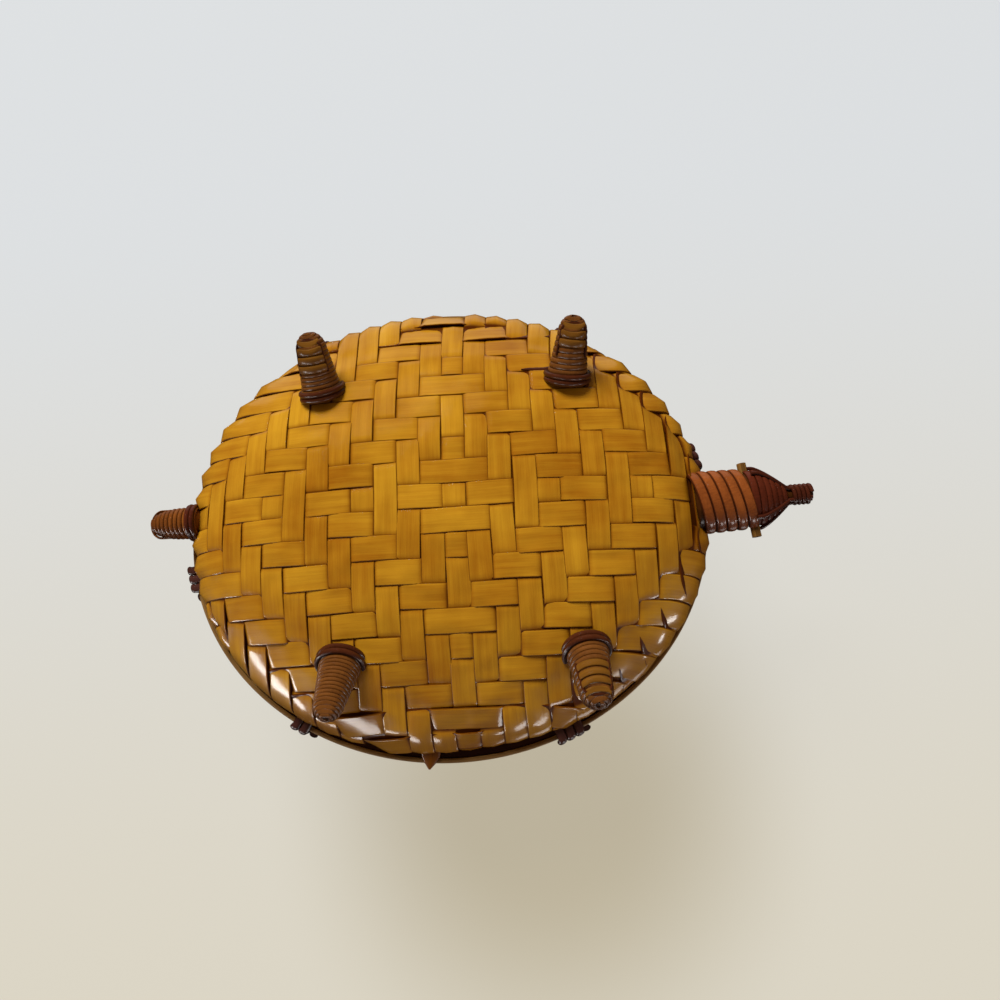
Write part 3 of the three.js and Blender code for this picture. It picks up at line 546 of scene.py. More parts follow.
print("the wall swells by", BOWL.swelling / MM, "mm times", min(SWELL_SHARES), "to", max(SWELL_SHARES))

# %% Over and under
EDGE_RULES = 0.45
DIVE = (0.3, 0.7)
FLOAT_ARCH = 0.25


def on_top(number, other, lengthwise):
    """Whether a strip that runs this way passes over the one that it crosses in the plain twill."""
    return ((abs(number) + abs(other)) % 4 in (1, 2)) == lengthwise


def crossing_states(dome, number, place, lengthwise, reached):
    """1 where a strip lies over one that it crosses, -1 where it dives: by the edge, or else by the twill."""
    across = np.array([where for other, where in reached])
    still = np.full_like(across, place)
    turned = over_edge(dome, *((across, still) if lengthwise else (still, across)), lengthwise)
    twill = np.array([1 if on_top(number, other, lengthwise) else -1 for other, where in reached])
    return np.where(abs(turned) > EDGE_RULES, np.sign(turned), twill)


def with_free_ends(crossings, states, length, pitch):
    """Brings a strip up again one pitch past its last crossing at either end, where nothing covers it."""
    if len(states) and length - crossings[-1] > pitch:
        crossings, states = crossings + [crossings[-1] + pitch], np.append(states, 1)
    if len(states) and crossings[0] > pitch:
        crossings, states = [crossings[0] - pitch] + crossings, np.insert(states, 0, 1)
    return crossings, states


def lift_along(along, crossings, states):
    """1 over a crossing and -1 under it, with a smooth dive between neighbours that differ."""
    if len(crossings) < 2:
        return np.full_like(along, states[0] if len(states) else 1.0)
    crossings = np.array(crossings)
    k = np.clip(np.searchsorted(crossings, along) - 1, 0, len(crossings) - 2)
    share = np.clip((along - crossings[k]) / (crossings[k + 1] - crossings[k]), 0, 1)
    turn = ease(share, *DIVE)
    arch = FLOAT_ARCH * np.sin(math.pi * share) * (states[k] == states[k + 1])
    return states[k] * (1 - turn) + states[k + 1] * turn + arch * states[k]


print("the middle row passes over columns", [i for i in range(8) if on_top(0, i, True)])

# %% One strip
STRIP_THICKNESS = 0.62 * MM
STRIP_LIFT = 0.38 * MM
STRIP_STEP = 1.25 * MM
SHORTEST_STRIP = 14 * MM
STRIP_CROWN = 0.04 * MM
CROWN_LIFTS = (-0.4, 0.7)
WALL_CROWN = 2.2 * MM
STRETCH_LIMITS = (0.4, 1.3)
STRIP_WANDER = 0.22 * MM
WANDER_WAVES = ((9 * MM, 40), (23 * MM, 90))


def strip_path(dome, number, place, lengthwise, others, spacing, pitch, tone):
    x, y, along = dome.cut(place, lengthwise)
    if along[-1] < SHORTEST_STRIP:
        return None
    run = x if lengthwise else y
    reached = [(other, where) for other, where in sorted(others.items()) if run[0] < where < run[-1]]
    crossings = [float(np.interp(where, run, along)) for other, where in reached]
    states = crossing_states(dome, number, place, lengthwise, reached)
    crossings, states = with_free_ends(crossings, states, along[-1], pitch)
    even = np.linspace(0, along[-1], int(along[-1] / STRIP_STEP) + 2)
    x, y = np.interp(even, along, x), np.interp(even, along, y)
    out = dome.normal(x, y)
    lift = lift_along(even, crossings, states)
    facing_across = out[:, 1] if lengthwise else out[:, 0]
    slope = np.sqrt(np.maximum(1 - facing_across ** 2, 1e-4))
    stretch = np.clip(spacing / pitch / slope, *STRETCH_LIMITS)
    stand = STRIP_LIFT * lift + loosened(dome, x, y, out)[1]
    bulge = WALL_CROWN * np.maximum(over_edge(dome, x, y, lengthwise), 0)
    crown = ease(lift, *CROWN_LIFTS) * (STRIP_CROWN + bulge)
    points = dome.point(x, y) + out * stand[:, None]
    sway = sum(np.sin(even / length + phase * tone) for length, phase in WANDER_WAVES)
    points[:, 1 if lengthwise else 0] += STRIP_WANDER * sway * out[:, 2] ** 2
    return path(points, out, share=stretch * pitch / COLUMN_PITCH, tone=tone, lift=lift, crown=crown)


print("a strip has a point every", STRIP_STEP / MM, "mm")

# %% The weave of bowl and lid
STRIP_COVER = 1.03
BELLY_CENTRE = (6.7 * MM, -3.8 * MM)


def weave(name, dome, centre, body, node, seed):
    tones = np.random.RandomState(seed)
    columns = strip_places(dome, centre[0], COLUMN_PITCH, False)
    rows = strip_places(dome, centre[1], ROW_PITCH, True)
    paths = []
    ways = ((columns, rows, COLUMN_PITCH, False), (rows, columns, ROW_PITCH, True))
    for own, others, pitch, lengthwise in ways:
        order = sorted(own)
        places = np.array([own[i] for i in order])
        for number, place, gap in zip(order, places, np.gradient(places)):
            tone = tones.random_sample()
            paths.append(strip_path(dome, number, place, lengthwise, others, gap, pitch, tone))
    print(name, "has", len(columns), "strips across and", len(rows), "along")
    paths = [one for one in paths if one]
    cane(name, paths, STRIP_COVER * COLUMN_PITCH, STRIP_THICKNESS, WEAVE, body, [node],
         squareness=0.2, sides=12)


weave("belly_weave", BOWL, BELLY_CENTRE, "base", "belly_shell", 11)
weave("lid_weave", BACK, (0.0, 0.0), "lid", "lid_shell", 23)

# %% Painted shade in the chinks
def skin(name, dome, body, rings=40, around=120, thickness=0.2 * MM):
    """A thin sheet in the middle of the weave that closes the chinks, painted the colour of strips in shade.
    """
    reaches = np.sin(np.linspace(0.01, math.pi / 2, rings))
    reach, turn = np.meshgrid(reaches, np.arange(around) / around * math.tau, indexing="ij")
    x, y = (dome.length * reach * np.cos(turn)).ravel(), (dome.width * reach * np.sin(turn)).ravel()
    out = dome.normal(x, y)
    middle = dome.point(x, y) + out * loosened(dome, x, y, out)[1][:, None]
    count = rings * around
    faces = [list(range(around)), [count + i for i in reversed(range(around))]]
    for ring_number in range(rings - 1):
        for i in range(around):
            a, b = ring_number * around + i, ring_number * around + (i + 1) % around
            faces.append([a, a + around, b + around, b])
            faces.append([count + k for k in (b, b + around, a + around, a)])
    for i in range(count - around, count):
        after = i + 1 if i + 1 < count else count - around
        faces.append([i, count + i, count + after, after])
    mesh = bpy.data.meshes.new(name)
    mesh.from_pydata(np.concatenate([middle + out * thickness / 2, middle - out * thickness / 2]), [], faces)
    mesh.materials.append(CHINK_SHADE)
    mesh.shade_smooth()
    point_outwards(mesh)
    return dressed(linked(name, mesh), body)


skin("belly_chinks", BOWL, "base")
skin("lid_chinks", BACK, "lid")

# %% [markdown]
# ## Hoops, filler and lashings
# The bowl's edge is gripped by a split-bamboo hoop with a dark cane filler behind it, whose near-black is
# partly painted shade for the gap between weave and hoop, and the lid has a hoop outside and a collar inside.
# All of them are closed runs of the same sweep: a flat section for the hoops and the collar, and three thin
# canes, one above the other, for the filler. Lashings tie each rim: a few turns of flat cane that go out over
# the hoop, through the weave and back over the edge.

# %% Closed runs round the rims
RUN_STEPS = 220
RUN_TURNS = math.radians(240) + np.arange(RUN_STEPS) / RUN_STEPS * math.tau


def ring(node):
    """Middle, outer half sizes, lowest and highest z of an upright band of the frame."""
    low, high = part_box(node)
    return (low + high) / 2, (high.x - low.x) / 2, (high.y - low.y) / 2, low.z, high.z


def ellipse(middle, length, width, height=0.0, turns=RUN_TURNS):
    """Points of a level ellipse, and the way out at each of them."""
    ahead, aside = np.cos(turns), np.sin(turns)
    points = np.column_stack([middle[0] + length * ahead, middle[1] + width * aside,
                              np.full_like(turns, height)])
    return points, unit(np.column_stack([ahead / length, aside / width, np.zeros_like(turns)]))


def bowl_edge(turns=RUN_TURNS):
    return ellipse(BOWL.middle, BOWL.length + STRIP_INSET, BOWL.width + STRIP_INSET, turns=turns)


def hoop(name, node, thickness, finish, body, squareness):
    middle, length, width, low, high = ring(node)
    points, out = ellipse(middle, length - thickness / 2, width - thickness / 2, (low + high) / 2)
    return cane(name, [path(points, out, closed=True)], high - low, thickness, finish, body, [node],
                squareness, sides=14)


def filler(name, node, hoop_node, hoop_thickness, finish, body, canes=3):
    """Thin canes in the space between the bowl's edge and the hoop, as wide as the space is there."""
    low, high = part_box(node)
    middle, length, width, _, _ = ring(hoop_node)
    edge, _ = bowl_edge()
    inner, _ = ellipse(middle, length - hoop_thickness, width - hoop_thickness)
    space = np.linalg.norm(inner - edge, axis=1)
    step = (high.z - low.z) / canes
    paths = []
    for number in range(canes):
        points = (edge + inner) / 2
        points[:, 2] = low.z + (number + 0.5) * step
        paths.append(path(points, np.tile((0.0, 0.0, 1.0), (RUN_STEPS, 1)), closed=True,
                          share=space / space.max(), tone=number / canes))
    return cane(name, paths, space.max(), step, finish, body, [node])


HOOP_THICKNESS = 1.8 * MM
hoop("rim_hoop_split", "rim_hoop", HOOP_THICKNESS, HOOP, "base", 0.6)
hoop("lid_hoop_split", "lid_hoop", HOOP_THICKNESS, HOOP, "lid", 0.6)
hoop("lid_collar_band", "lid_collar", HOOP_THICKNESS, HOOP, "lid", 0.35)
filler("rim_filler_canes", "rim_core", "rim_hoop", HOOP_THICKNESS, FILLER_CANE_AND_SHADE, "base")

# %% Lashings
LASH_WIDTH = 3.3 * MM
LASH_THICKNESS = 2.0 * MM
LASH_PITCH = 3.5 * MM
LASH_SEAT = 1.1 * MM
LASH_INSIDE = 2.9 * MM
LASH_CORNER = 7
RIM_LASHINGS = [(64, 3), (123, 2), (168, 3), (240, 2), (300, 2), (346, 3)]
LID_LASHINGS = [(32, 2), (93, 3), (146, 2), (204, 2), (270, 3), (319, 2)]


def lash_path(degrees, turns, hoop_node, tone):
    """Turns round the rim's section: out over the hoop, under it, through the weave and over the edge."""
    middle, length, width, low, high = ring(hoop_node)
    bearing = np.radians([degrees])
    (place,), (away,) = bowl_edge(bearing)
    (hoop_place,), _ = ellipse(middle, length, width, turns=bearing)
    ahead = np.array([-away[1], away[0], 0.0])
    outside = (hoop_place - place) @ away
    corners = [(outside, low, -90), (outside, high, 0), (-LASH_INSIDE, high, 90), (-LASH_INSIDE, low, 180)]
    loop = [(x, z, math.radians(start + part)) for x, z, start in corners
            for part in np.linspace(0, 90, LASH_CORNER)]
    steps = len(loop)
    count = turns * steps + 1
    points, out = [], []
    for i in range(count):
        x, z, lean = loop[(i + LASH_CORNER) % steps]
        reach, rise = math.cos(lean), math.sin(lean)
        slide = (i / steps - turns / 2) * LASH_PITCH
        spot = place + away * (x + LASH_SEAT * reach) + ahead * slide
        points.append((spot[0], spot[1], z + LASH_SEAT * rise))
        out.append(away * reach + np.array([0, 0, rise]))
    return path(points, np.array(out), tone=tone)


def lashings(label, places, hoop_node, body):
    for number, (degrees, turns) in enumerate(places, 1):
        one = lash_path(degrees, turns, hoop_node, (0.37 * number) % 1)
        cane(f"{label}_cane_{number}", [one], LASH_WIDTH, LASH_THICKNESS, LASHING, body,
             [f"{label}_{number}"], sides=12)


lashings("rim_lashing", RIM_LASHINGS, "rim_hoop", "base")
lashings("lid_lashing", LID_LASHINGS, "lid_hoop", "lid")

# %% [markdown]
# ## Limbs: cores and windings
# Legs, neck, head and tail are all wound: a core in the middle and cane laid round it, turn against turn.
# `Limb` is an axis with two directions across it. Its `rod` gives a path along the axis whose width changes
# from place to place, and its `coil` gives a path round the axis. Both go through the same sweep as the
# strips.

# %% An axis to wind on
class Limb:
    def __init__(self, origin, along, side, flatten=1.0):
        self.origin = np.array(origin, float)
        self.along = unit(np.array(along, float))
        side = np.array(side, float)
        self.across = unit(side - self.along * (side @ self.along))
        self.upward = np.cross(self.along, self.across)
        self.flatten = flatten

    def at(self, reach, radius, angle):
        reach, radius, angle = np.broadcast_arrays(reach, radius, angle)
        return (self.origin + reach[:, None] * self.along + (radius * np.cos(angle))[:, None] * self.across
                + (radius * self.flatten * np.sin(angle))[:, None] * self.upward)

    def outward(self, angle):
        across, upward = self.flatten * np.cos(angle), np.sin(angle)
        return unit(across[:, None] * self.across + upward[:, None] * self.upward)

    def coil(self, start, end, pitch, radius, slant=0.0, begin=0.0, steps=36, tone=0.5):
        """Turns from start to end; the radius is a function of the place along the axis."""
        fine = np.linspace(start, end, 400)
        run = np.concatenate([[0], np.cumsum(np.hypot(np.diff(fine), np.diff(radius(fine))))])
        turns = run[-1] / pitch
        turn = np.linspace(0, math.tau * turns, int(turns * steps) + 2)
        reach = np.interp(pitch * turn / math.tau, run, fine)
        lean = np.interp(reach, fine, -np.gradient(radius(fine), fine))
        angle = turn + begin
        points = self.at(reach + slant * np.cos(angle), radius(reach), angle)
        wander = 0.5 + 0.3 * np.sin(2.3 * turn + 9 * tone)
        return path(points, unit(self.outward(angle) + lean[:, None] * self.along), tone=wander)

    def rod(self, stations, step=0.5 * MM, tone=0.5):
        """A run along the axis through stations of (place, radius), and the widest radius."""
        places, radii = np.array(stations).T
        reach = np.unique(np.concatenate([np.arange(places[0], places[-1], step), places]))
        radius = np.interp(reach, places, radii)
        most = radius.max()
        run = path(self.at(reach, np.zeros_like(reach), np.zeros_like(reach)),
                   np.tile(self.upward, (len(reach), 1)), share=radius / most,
                   depth=self.flatten * radius / most, tone=tone)
        return run, most


def rod_piece(name, limb, stations, finish, body, replaces, sides=20):
    run, most = limb.rod(stations)
    return cane(name, [run], 2 * most, 2 * most, finish, body, replaces, sides=sides)


def rounded(start, end, radius, tip, steps=5):
    """Stations of an end that rounds off from radius at start to tip at end."""
    return [(start + (end - start) * math.sin(math.pi / 2 * i / steps),
             tip + (radius - tip) * math.cos(math.pi / 2 * i / steps)) for i in range(steps + 1)]


def bent_over(start, bend, bulge, bend_steps, straight_steps=11):
    """Places along an axis out to a bend and back again, and the angle round the bend at each."""
    turn = np.linspace(-math.pi / 2, math.pi / 2, bend_steps)
    straight = np.linspace(start, bend, straight_steps + 1)[:-1]
    side = np.full(straight_steps, math.pi / 2)
    return (np.concatenate([straight, bend + bulge * np.cos(turn), straight[::-1]]),
            np.concatenate([-side, turn, side]))


def steady(radius):
    """The same radius all along."""
    return lambda s: np.full_like(s, radius)


print("a rounded end has", len(rounded(0.0, 1.0, 1.0, 0.0)), "stations")

# %% Ties inside the bowl
TIE_START = 0.8 * MM
TIE_END = 3.8 * MM
TIE_PITCH = 1.5 * MM
TIE_WIDTH = 1.3 * MM
TIE_THICKNESS = 1.0 * MM


def binding(name, limb, tenon_end, tenon_radius, node, tone=0.5):
    """Two turns of cane inside the bowl, which keep a tenon from slipping out."""
    tie = limb.coil(tenon_end + TIE_START, tenon_end + TIE_END, TIE_PITCH,
                    steady(tenon_radius + TIE_THICKNESS / 2), tone=tone)
    cane(name, [tie], TIE_WIDTH, TIE_THICKNESS, LEG_CANE, "base", [node])


print("ties have", (TIE_END - TIE_START) / TIE_PITCH, "turns")

# %% [markdown]
# ## Legs
# Each leg is a stub that leaves the bowl at a slant and spreads outwards. A dark ring of thick cane sits
# round its root, fine cane winds along it and closes over the rounded tip, and three of the legs carry a
# bent cane, a narrow U, with short bars across. The sole is flat, where it stands on the ground. Inside the
# bowl two turns of cane keep the leg's tenon from slipping out.

# %% Sizes of the legs
# Each leg has the x of its root, its side, its reach along x, its tip's radius and its winding's pitch
LEG_PLACES = {"front_left": (49.5, 1, 2.0, 5.0, 1.9), "front_right": (49.5, -1, 3.5, 4.6, 2.0),
              "rear_left": (-35.5, 1, -2.0, 4.4, 1.4), "rear_right": (-42.5, -1, -2.0, 4.7, 1.6)}
LEG_ROOT_Y = 49.5 * MM
LEG_SHIFT = 1.7 * MM
LEG_REACH_Y = 18.5 * MM
FOOT_RISE = 1.4 * MM
LEG_RADIUS = 6.9 * MM
RING_RADIUS = 8.0 * MM
RING_THICKNESS = 2.0 * MM
RING_WIDTH = 2.2 * MM
RING_START, RING_END = -0.5 * MM, 2.6 * MM
TENON_RADIUS = 2.4 * MM
TENON_END = -10.5 * MM
SHOULDER = -2.0 * MM
LEG_START = -1.0 * MM
LEG_ROUNDING = 6.0 * MM
LEG_TIP = 0.2 * MM
LEG_CANE_THICKNESS = 0.9 * MM
SOLE = 0.12 * MM
SOLE_REACH = 6.0 * MM
PADDED = ("front_left", "front_right", "rear_right")
UNDERSIDE = math.pi / 2
PAD_START = 0.4
PAD_BEND = 4.2 * MM
PAD_SHORT = 1.2 * MM
FIRST_BAR = 2.6 * MM
PAD_PITCH = 3.2 * MM
PAD_CANE = 1.0 * MM
PAD_SPREAD = math.radians(52)
print("legs:", ", ".join(LEG_PLACES), "with pads on", len(PADDED))

# %% Soles and pads
def stand_flat(piece):
    """Presses what lies below the ground into a thin sole, without changing which layer is the lowest."""
    for vertex in piece.data.vertices:
        if vertex.co.z < SOLE:
            vertex.co.z = SOLE + (vertex.co.z - SOLE) * SOLE / SOLE_REACH
    return piece


def leg_limb(x, side, reach_x):
    """The axis of a leg, from the bowl's surface to the ground, and its length."""
    y = LEG_SHIFT + side * LEG_ROOT_Y
    root = BOWL.point(np.array([x * MM]), np.array([y]))[0]
    foot = np.array([root[0] + reach_x * MM, root[1] + side * LEG_REACH_Y, FOOT_RISE])
    limb = Limb(root, foot - root, (side, 0, 0))
    return limb, float(np.linalg.norm(foot - root))


def leg_pad(name, limb, length, over):
    """A bent cane, a narrow U, on the side of the leg that faces the ground, with short bars across it."""
    reach, lean = bent_over(PAD_START * length, length - PAD_BEND, PAD_BEND - PAD_SHORT, 15)
    angle = np.sin(lean) * PAD_SPREAD + UNDERSIDE
    points = limb.at(reach, over(reach) + PAD_CANE / 2, angle)
    loop = path(points, limb.outward(angle), tone=0.6)
    stand_flat(cane(f"leg_loop_{name}", [loop], PAD_CANE, 1.1 * PAD_CANE, RING_CANE, "base"))
    bars = []
    middles = np.arange(length - FIRST_BAR, PAD_START * length + PAD_PITCH / 2, -PAD_PITCH)
    for number, middle in enumerate(middles):
        angle = UNDERSIDE + np.linspace(-0.95, 0.95, 16) * PAD_SPREAD
        reach = np.full_like(angle, middle)
        bars.append(path(limb.at(reach, over(reach) + 0.5 * PAD_CANE, angle), limb.outward(angle),
                         tone=(0.3 + 0.37 * number) % 1))
    stand_flat(cane(f"leg_pad_{name}", bars, 0.94 * PAD_PITCH, PAD_CANE, FOOT_CANE, "base"))


print("a pad has a bar every", PAD_PITCH / MM, "mm")

# %% Four legs
def leg(name, x, side, reach_x, tip_radius, pitch):
    limb, length = leg_limb(x, side, reach_x)
    core = [(TENON_END, TENON_RADIUS), (SHOULDER, TENON_RADIUS), (LEG_START, LEG_RADIUS), (0.0, LEG_RADIUS)]
    core += rounded(length - LEG_ROUNDING, length, tip_radius * MM, LEG_TIP, steps=9)

    def over(s):
        return np.interp(s, *np.array(core[2:]).T) + LEG_CANE_THICKNESS / 2

    stand_flat(rod_piece(f"leg_body_{name}", limb, core, CORE, "base", [f"leg_core_{name}"]))
    wrap = limb.coil(LEG_START, length - 0.02 * MM, pitch * MM, over, tone=0.2)
    stand_flat(cane(f"leg_winding_{name}", [wrap], 1.02 * pitch * MM, LEG_CANE_THICKNESS, LEG_CANE, "base",
                    [f"leg_wrap_{name}"], squareness=0.8))
    if name in PADDED:
        leg_pad(name, limb, length, over)
    collar = limb.coil(RING_START, RING_END, RING_THICKNESS, steady(RING_RADIUS), tone=0.7)
    cane(f"leg_ring_{name}", [collar], RING_WIDTH, RING_THICKNESS, RING_CANE, "base")
    binding(f"leg_binding_{name}", limb, TENON_END, TENON_RADIUS, f"leg_tie_{name}", tone=0.4)


for name, place in LEG_PLACES.items():
    leg(name, *place)

# %% [markdown]
# ## Loose ends
# Hand work leaves ends: a thin strand and a short tab of dark cane lie on the weave beside one leg, and the
# pointed end of a strip sticks out under the hoop on the near side. Each is one short sweep whose width
# changes along it.

# %% Loose ends of cane and strip
def on_bowl(places, lift):
    """Points that lie on the bowl under x and y in the frame, and the way out there."""
    x, y = np.array(places).T * MM - BOWL.middle[:, None]
    out = BOWL.normal(x, y)
    return BOWL.point(x, y) + out * lift, out


def loose_end(name, places, lift, width, thickness, shares, finish):
    points, out = on_bowl(places, lift)
    cane(name, [path(points, out, share=np.array(shares), tone=0.4)], width, thickness, finish, "base")


STRAND_PLACES = [(19.5, -52.8), (22, -52.8), (25, -52.6), (28, -52.6), (31, -53.2)]
TAB_PLACES = [(38.5, -51.5), (40.2, -49), (41.8, -46.6), (43.4, -44.4)]
TONGUE = np.array([(-20.2, 78.0, 30.6), (-20.4, 81.8, 32.4), (-20.8, 85.0, 33.0), (-21.1, 87.4, 33.2),
                   (-21.4, 89.4, 33.4)]) * MM
TONGUE_SHARES = np.array([1.0, 1.0, 0.85, 0.5, 0.08])
TONGUE_CROWN = np.array([0.4, 0.8, 0.8, 0.5, 0.0]) * MM
TONGUE_WIDTH = 7.8 * MM
loose_end("leg_strand", STRAND_PLACES, 0.6 * MM, 2.2 * MM, 1.1 * MM, [0.2, 0.7, 1.0, 1.0, 1.0], RING_CANE)
loose_end("leg_tab", TAB_PLACES, 1.2 * MM, 3.4 * MM, 1.6 * MM, [0.9, 1.0, 1.0, 0.6], RING_CANE)
tongue_out = np.tile(unit(np.array([0.0, 0.5, -0.86])), (len(TONGUE), 1))
tongue = path(TONGUE, tongue_out, share=TONGUE_SHARES, tone=0.8, crown=TONGUE_CROWN)
# The tongue takes the chink sheet's darker colour, which is painted shade
cane("strip_tongue", [tongue], TONGUE_WIDTH, STRIP_THICKNESS, CHINK_SHADE, "base", squareness=0.4,
     sides=12)

# %% [markdown]
# ## Neck, ears and head
# The neck is an oval bundle under slanting turns of wide split cane, reddish and glossy. A peg through it
# makes the two ears. The head is a cone wound with dark cane, with three strands along each cheek that
# are drawn together and bound at the snout.

# %% The neck
HEAD_FLATTEN = 0.72
neck_low, neck_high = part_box("neck_core")
wrap_low, wrap_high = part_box("neck_wrap")
ear_low, ear_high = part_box("ear_peg")
head_low, head_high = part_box("head_core")
neck_middle = (neck_low + neck_high) / 2
NECK_LEAN = -0.03
neck_origin = (0, neck_middle.y - NECK_LEAN * neck_middle.x, neck_middle.z)
NECK_AXIS = Limb(neck_origin, (1, NECK_LEAN, 0), (0, 1, 0), HEAD_FLATTEN)
NECK_RADIUS = 10.0 * MM
NECK_END_RADIUS = 9.5 * MM
NECK_TENON_RADIUS = 5.0 * MM
NECK_PITCH = 3.9 * MM
NECK_CANE_THICKNESS = 1.9 * MM
NECK_SLANT = 1.6 * MM
EAR_SLANT = 0.09
NECK_WALL = wrap_low.x - 2.6 * MM


def neck_radius(s):
    return np.interp(s, [wrap_low.x, neck_high.x], [NECK_RADIUS, NECK_END_RADIUS])


rod_piece("neck_body", NECK_AXIS,
          [(neck_low.x, NECK_TENON_RADIUS), (NECK_WALL - 2 * MM, NECK_TENON_RADIUS), (NECK_WALL, NECK_RADIUS),
           (neck_high.x, NECK_END_RADIUS)], CORE, "base", ["neck_core"], sides=32)
neck_turns = NECK_AXIS.coil(NECK_WALL, wrap_high.x + 0.2 * MM, NECK_PITCH,
                            lambda s: neck_radius(s) + NECK_CANE_THICKNESS / 2, NECK_SLANT,
                            begin=2.0, steps=56)
cane("neck_winding", [neck_turns], 0.99 * NECK_PITCH, NECK_CANE_THICKNESS, NECK_CANE, "base",
     ["neck_wrap"], squareness=0.9, sides=12)
binding("neck_binding", NECK_AXIS, neck_low.x, NECK_TENON_RADIUS, "neck_tie")
ear_radius = (ear_high.z - ear_low.z) / 2
ear_axis = Limb(((ear_low.x + ear_high.x) / 2, 0, NECK_AXIS.origin[2]), (EAR_SLANT, 1, 0), (0, 0, 1))
rod_piece("ear_stick", ear_axis, [(ear_low.y, ear_radius), (ear_high.y, ear_radius)], EAR_BAMBOO, "base",
          ["ear_peg"], sides=18)

# %% The head
SNOUT_RADIUS = 1.2 * MM
HEAD_CANE_THICKNESS = 1.1 * MM
HEAD_PITCH = 2.7 * MM
STRAND = 1.4 * MM
STRAND_SPREAD = math.radians(44)
STRAND_LIFT = (1.9 * MM, 0.9 * MM, 0.8 * MM)
SNOUT_PITCH = 1.6 * MM
SNOUT_CANE = 1.4 * MM
SNOUT_WINDING_RADIUS = 3.3 * MM
NECK_THROAT = 2.2 * MM
CHEEK_BOW = 1.35
snout_low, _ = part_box("snout_binding")
HEAD_START, SNOUT_END = head_low.x, head_high.x
SNOUT_START = HEAD_START + 11.5 * MM


def head_radius(s):
    """A cone with slightly rounded cheeks that ends in the thin snout."""
    share = np.clip((np.asarray(s) - HEAD_START) / (SNOUT_START - HEAD_START), 0, 1)
    cheeks = NECK_THROAT + (NECK_END_RADIUS - NECK_THROAT) * (1 - share ** CHEEK_BOW)
    return np.where(share < 1, cheeks, np.interp(s, [SNOUT_START, SNOUT_END], [NECK_THROAT, SNOUT_RADIUS]))


head_places = np.linspace(HEAD_START, SNOUT_END, 24)
rod_piece("head_cone", NECK_AXIS, list(zip(head_places, head_radius(head_places))), CORE, "base",
          ["head_core"], sides=28)
head_turns = NECK_AXIS.coil(HEAD_START - 3.4 * MM, SNOUT_START, HEAD_PITCH,
                            lambda s: head_radius(s) + HEAD_CANE_THICKNESS / 2, begin=1.0, steps=48)
cane("head_winding", [head_turns], HEAD_PITCH, HEAD_CANE_THICKNESS, HEAD_CANE, "base",
     ["head_wrap"], squareness=0.8, sides=10)
for number in range(6):
    cheek = math.pi * (number // 3)
    angle = cheek + STRAND_SPREAD * (number % 3 - 1)
    reach = np.linspace(HEAD_START - 2.0 * MM, SNOUT_END - 0.6 * MM, 40)
    over = head_radius(reach) + np.interp(reach, [HEAD_START, SNOUT_START, SNOUT_END], STRAND_LIFT)
    bearing = np.full_like(reach, angle)
    strand = path(NECK_AXIS.at(reach, over, bearing), NECK_AXIS.outward(bearing), tone=number / 6)
    cane(f"cheek_strand_{number + 1}", [strand], 1.25 * STRAND, STRAND, STRAND_CANE, "base",
         [f"head_strand_{number + 1}"])
snout_turns = NECK_AXIS.coil(snout_low.x, SNOUT_END - 0.9 * MM, SNOUT_PITCH, steady(SNOUT_WINDING_RADIUS),
                             begin=2.0, steps=28)
cane("snout_winding", [snout_turns], 0.98 * SNOUT_PITCH, SNOUT_CANE, STRAND_CANE, "base",
     ["snout_binding"])

# %% [markdown]
# ## Tail
# The tail is a short stub: a core with a long rounded end, fine cane round it, a strand bent over its tip,
# a dark ring where it enters the weave and two turns of cane inside.

# %% The tail
tail_low, tail_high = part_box("tail_core")
tail_wrap_low, tail_wrap_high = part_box("tail_wrap")
TAIL_RADIUS = 4.8 * MM
TAIL_TENON_RADIUS = 2.6 * MM
TAIL_ROUNDING = 12.0 * MM
TAIL_SHIFT = -0.9 * MM
TAIL_RING_RADIUS = 6.5 * MM
TAIL_RING_PITCH = 1.8 * MM
TAIL_RING_WIDTH = 1.9 * MM
TAIL_RING_THICKNESS = 1.5 * MM
TAIL_STRAND_WIDTH = 2.2 * MM
TAIL_STRAND_THICKNESS = 0.9 * MM
TAIL_STRAND_BEND = 3.8 * MM
TAIL_PITCH = 1.75 * MM
TAIL_CANE_THICKNESS = 1.3 * MM
tail_middle = (tail_wrap_low + tail_wrap_high) / 2
TAIL_AXIS = Limb((0, tail_middle.y + TAIL_SHIFT, tail_middle.z), (-1, 0, 0), (0, 1, 0))
TAIL_ROOT, TAIL_END, TAIL_TENON_END = -tail_wrap_high.x, -tail_low.x, -tail_high.x
TAIL_START = TAIL_ROOT - 4 * MM
TAIL_TIP = rounded(TAIL_END - TAIL_ROUNDING, TAIL_END, TAIL_RADIUS, 0.3 * MM, steps=9)


def tail_radius(s):
    return np.interp(s, *np.array(TAIL_TIP).T)


rod_piece("tail_body", TAIL_AXIS,
          [(TAIL_TENON_END, TAIL_TENON_RADIUS), (TAIL_START - MM, TAIL_TENON_RADIUS),
           (TAIL_START, TAIL_RADIUS)] + TAIL_TIP, TAIL_CANE, "base", ["tail_core"])
tail_turns = TAIL_AXIS.coil(TAIL_START, TAIL_END - 0.7 * MM, TAIL_PITCH,
                            lambda s: tail_radius(s) + TAIL_CANE_THICKNESS / 2, steps=32)
cane("tail_winding", [tail_turns], 0.98 * TAIL_PITCH, TAIL_CANE_THICKNESS, TAIL_CANE, "base",
     ["tail_wrap"])
tail_over = tail_radius(TAIL_END - 4.2 * MM) + TAIL_CANE_THICKNESS + 0.2 * MM
strand_reach, strand_lean = bent_over(TAIL_ROOT + 3 * MM, TAIL_END - 3.4 * MM, TAIL_STRAND_BEND, 19)
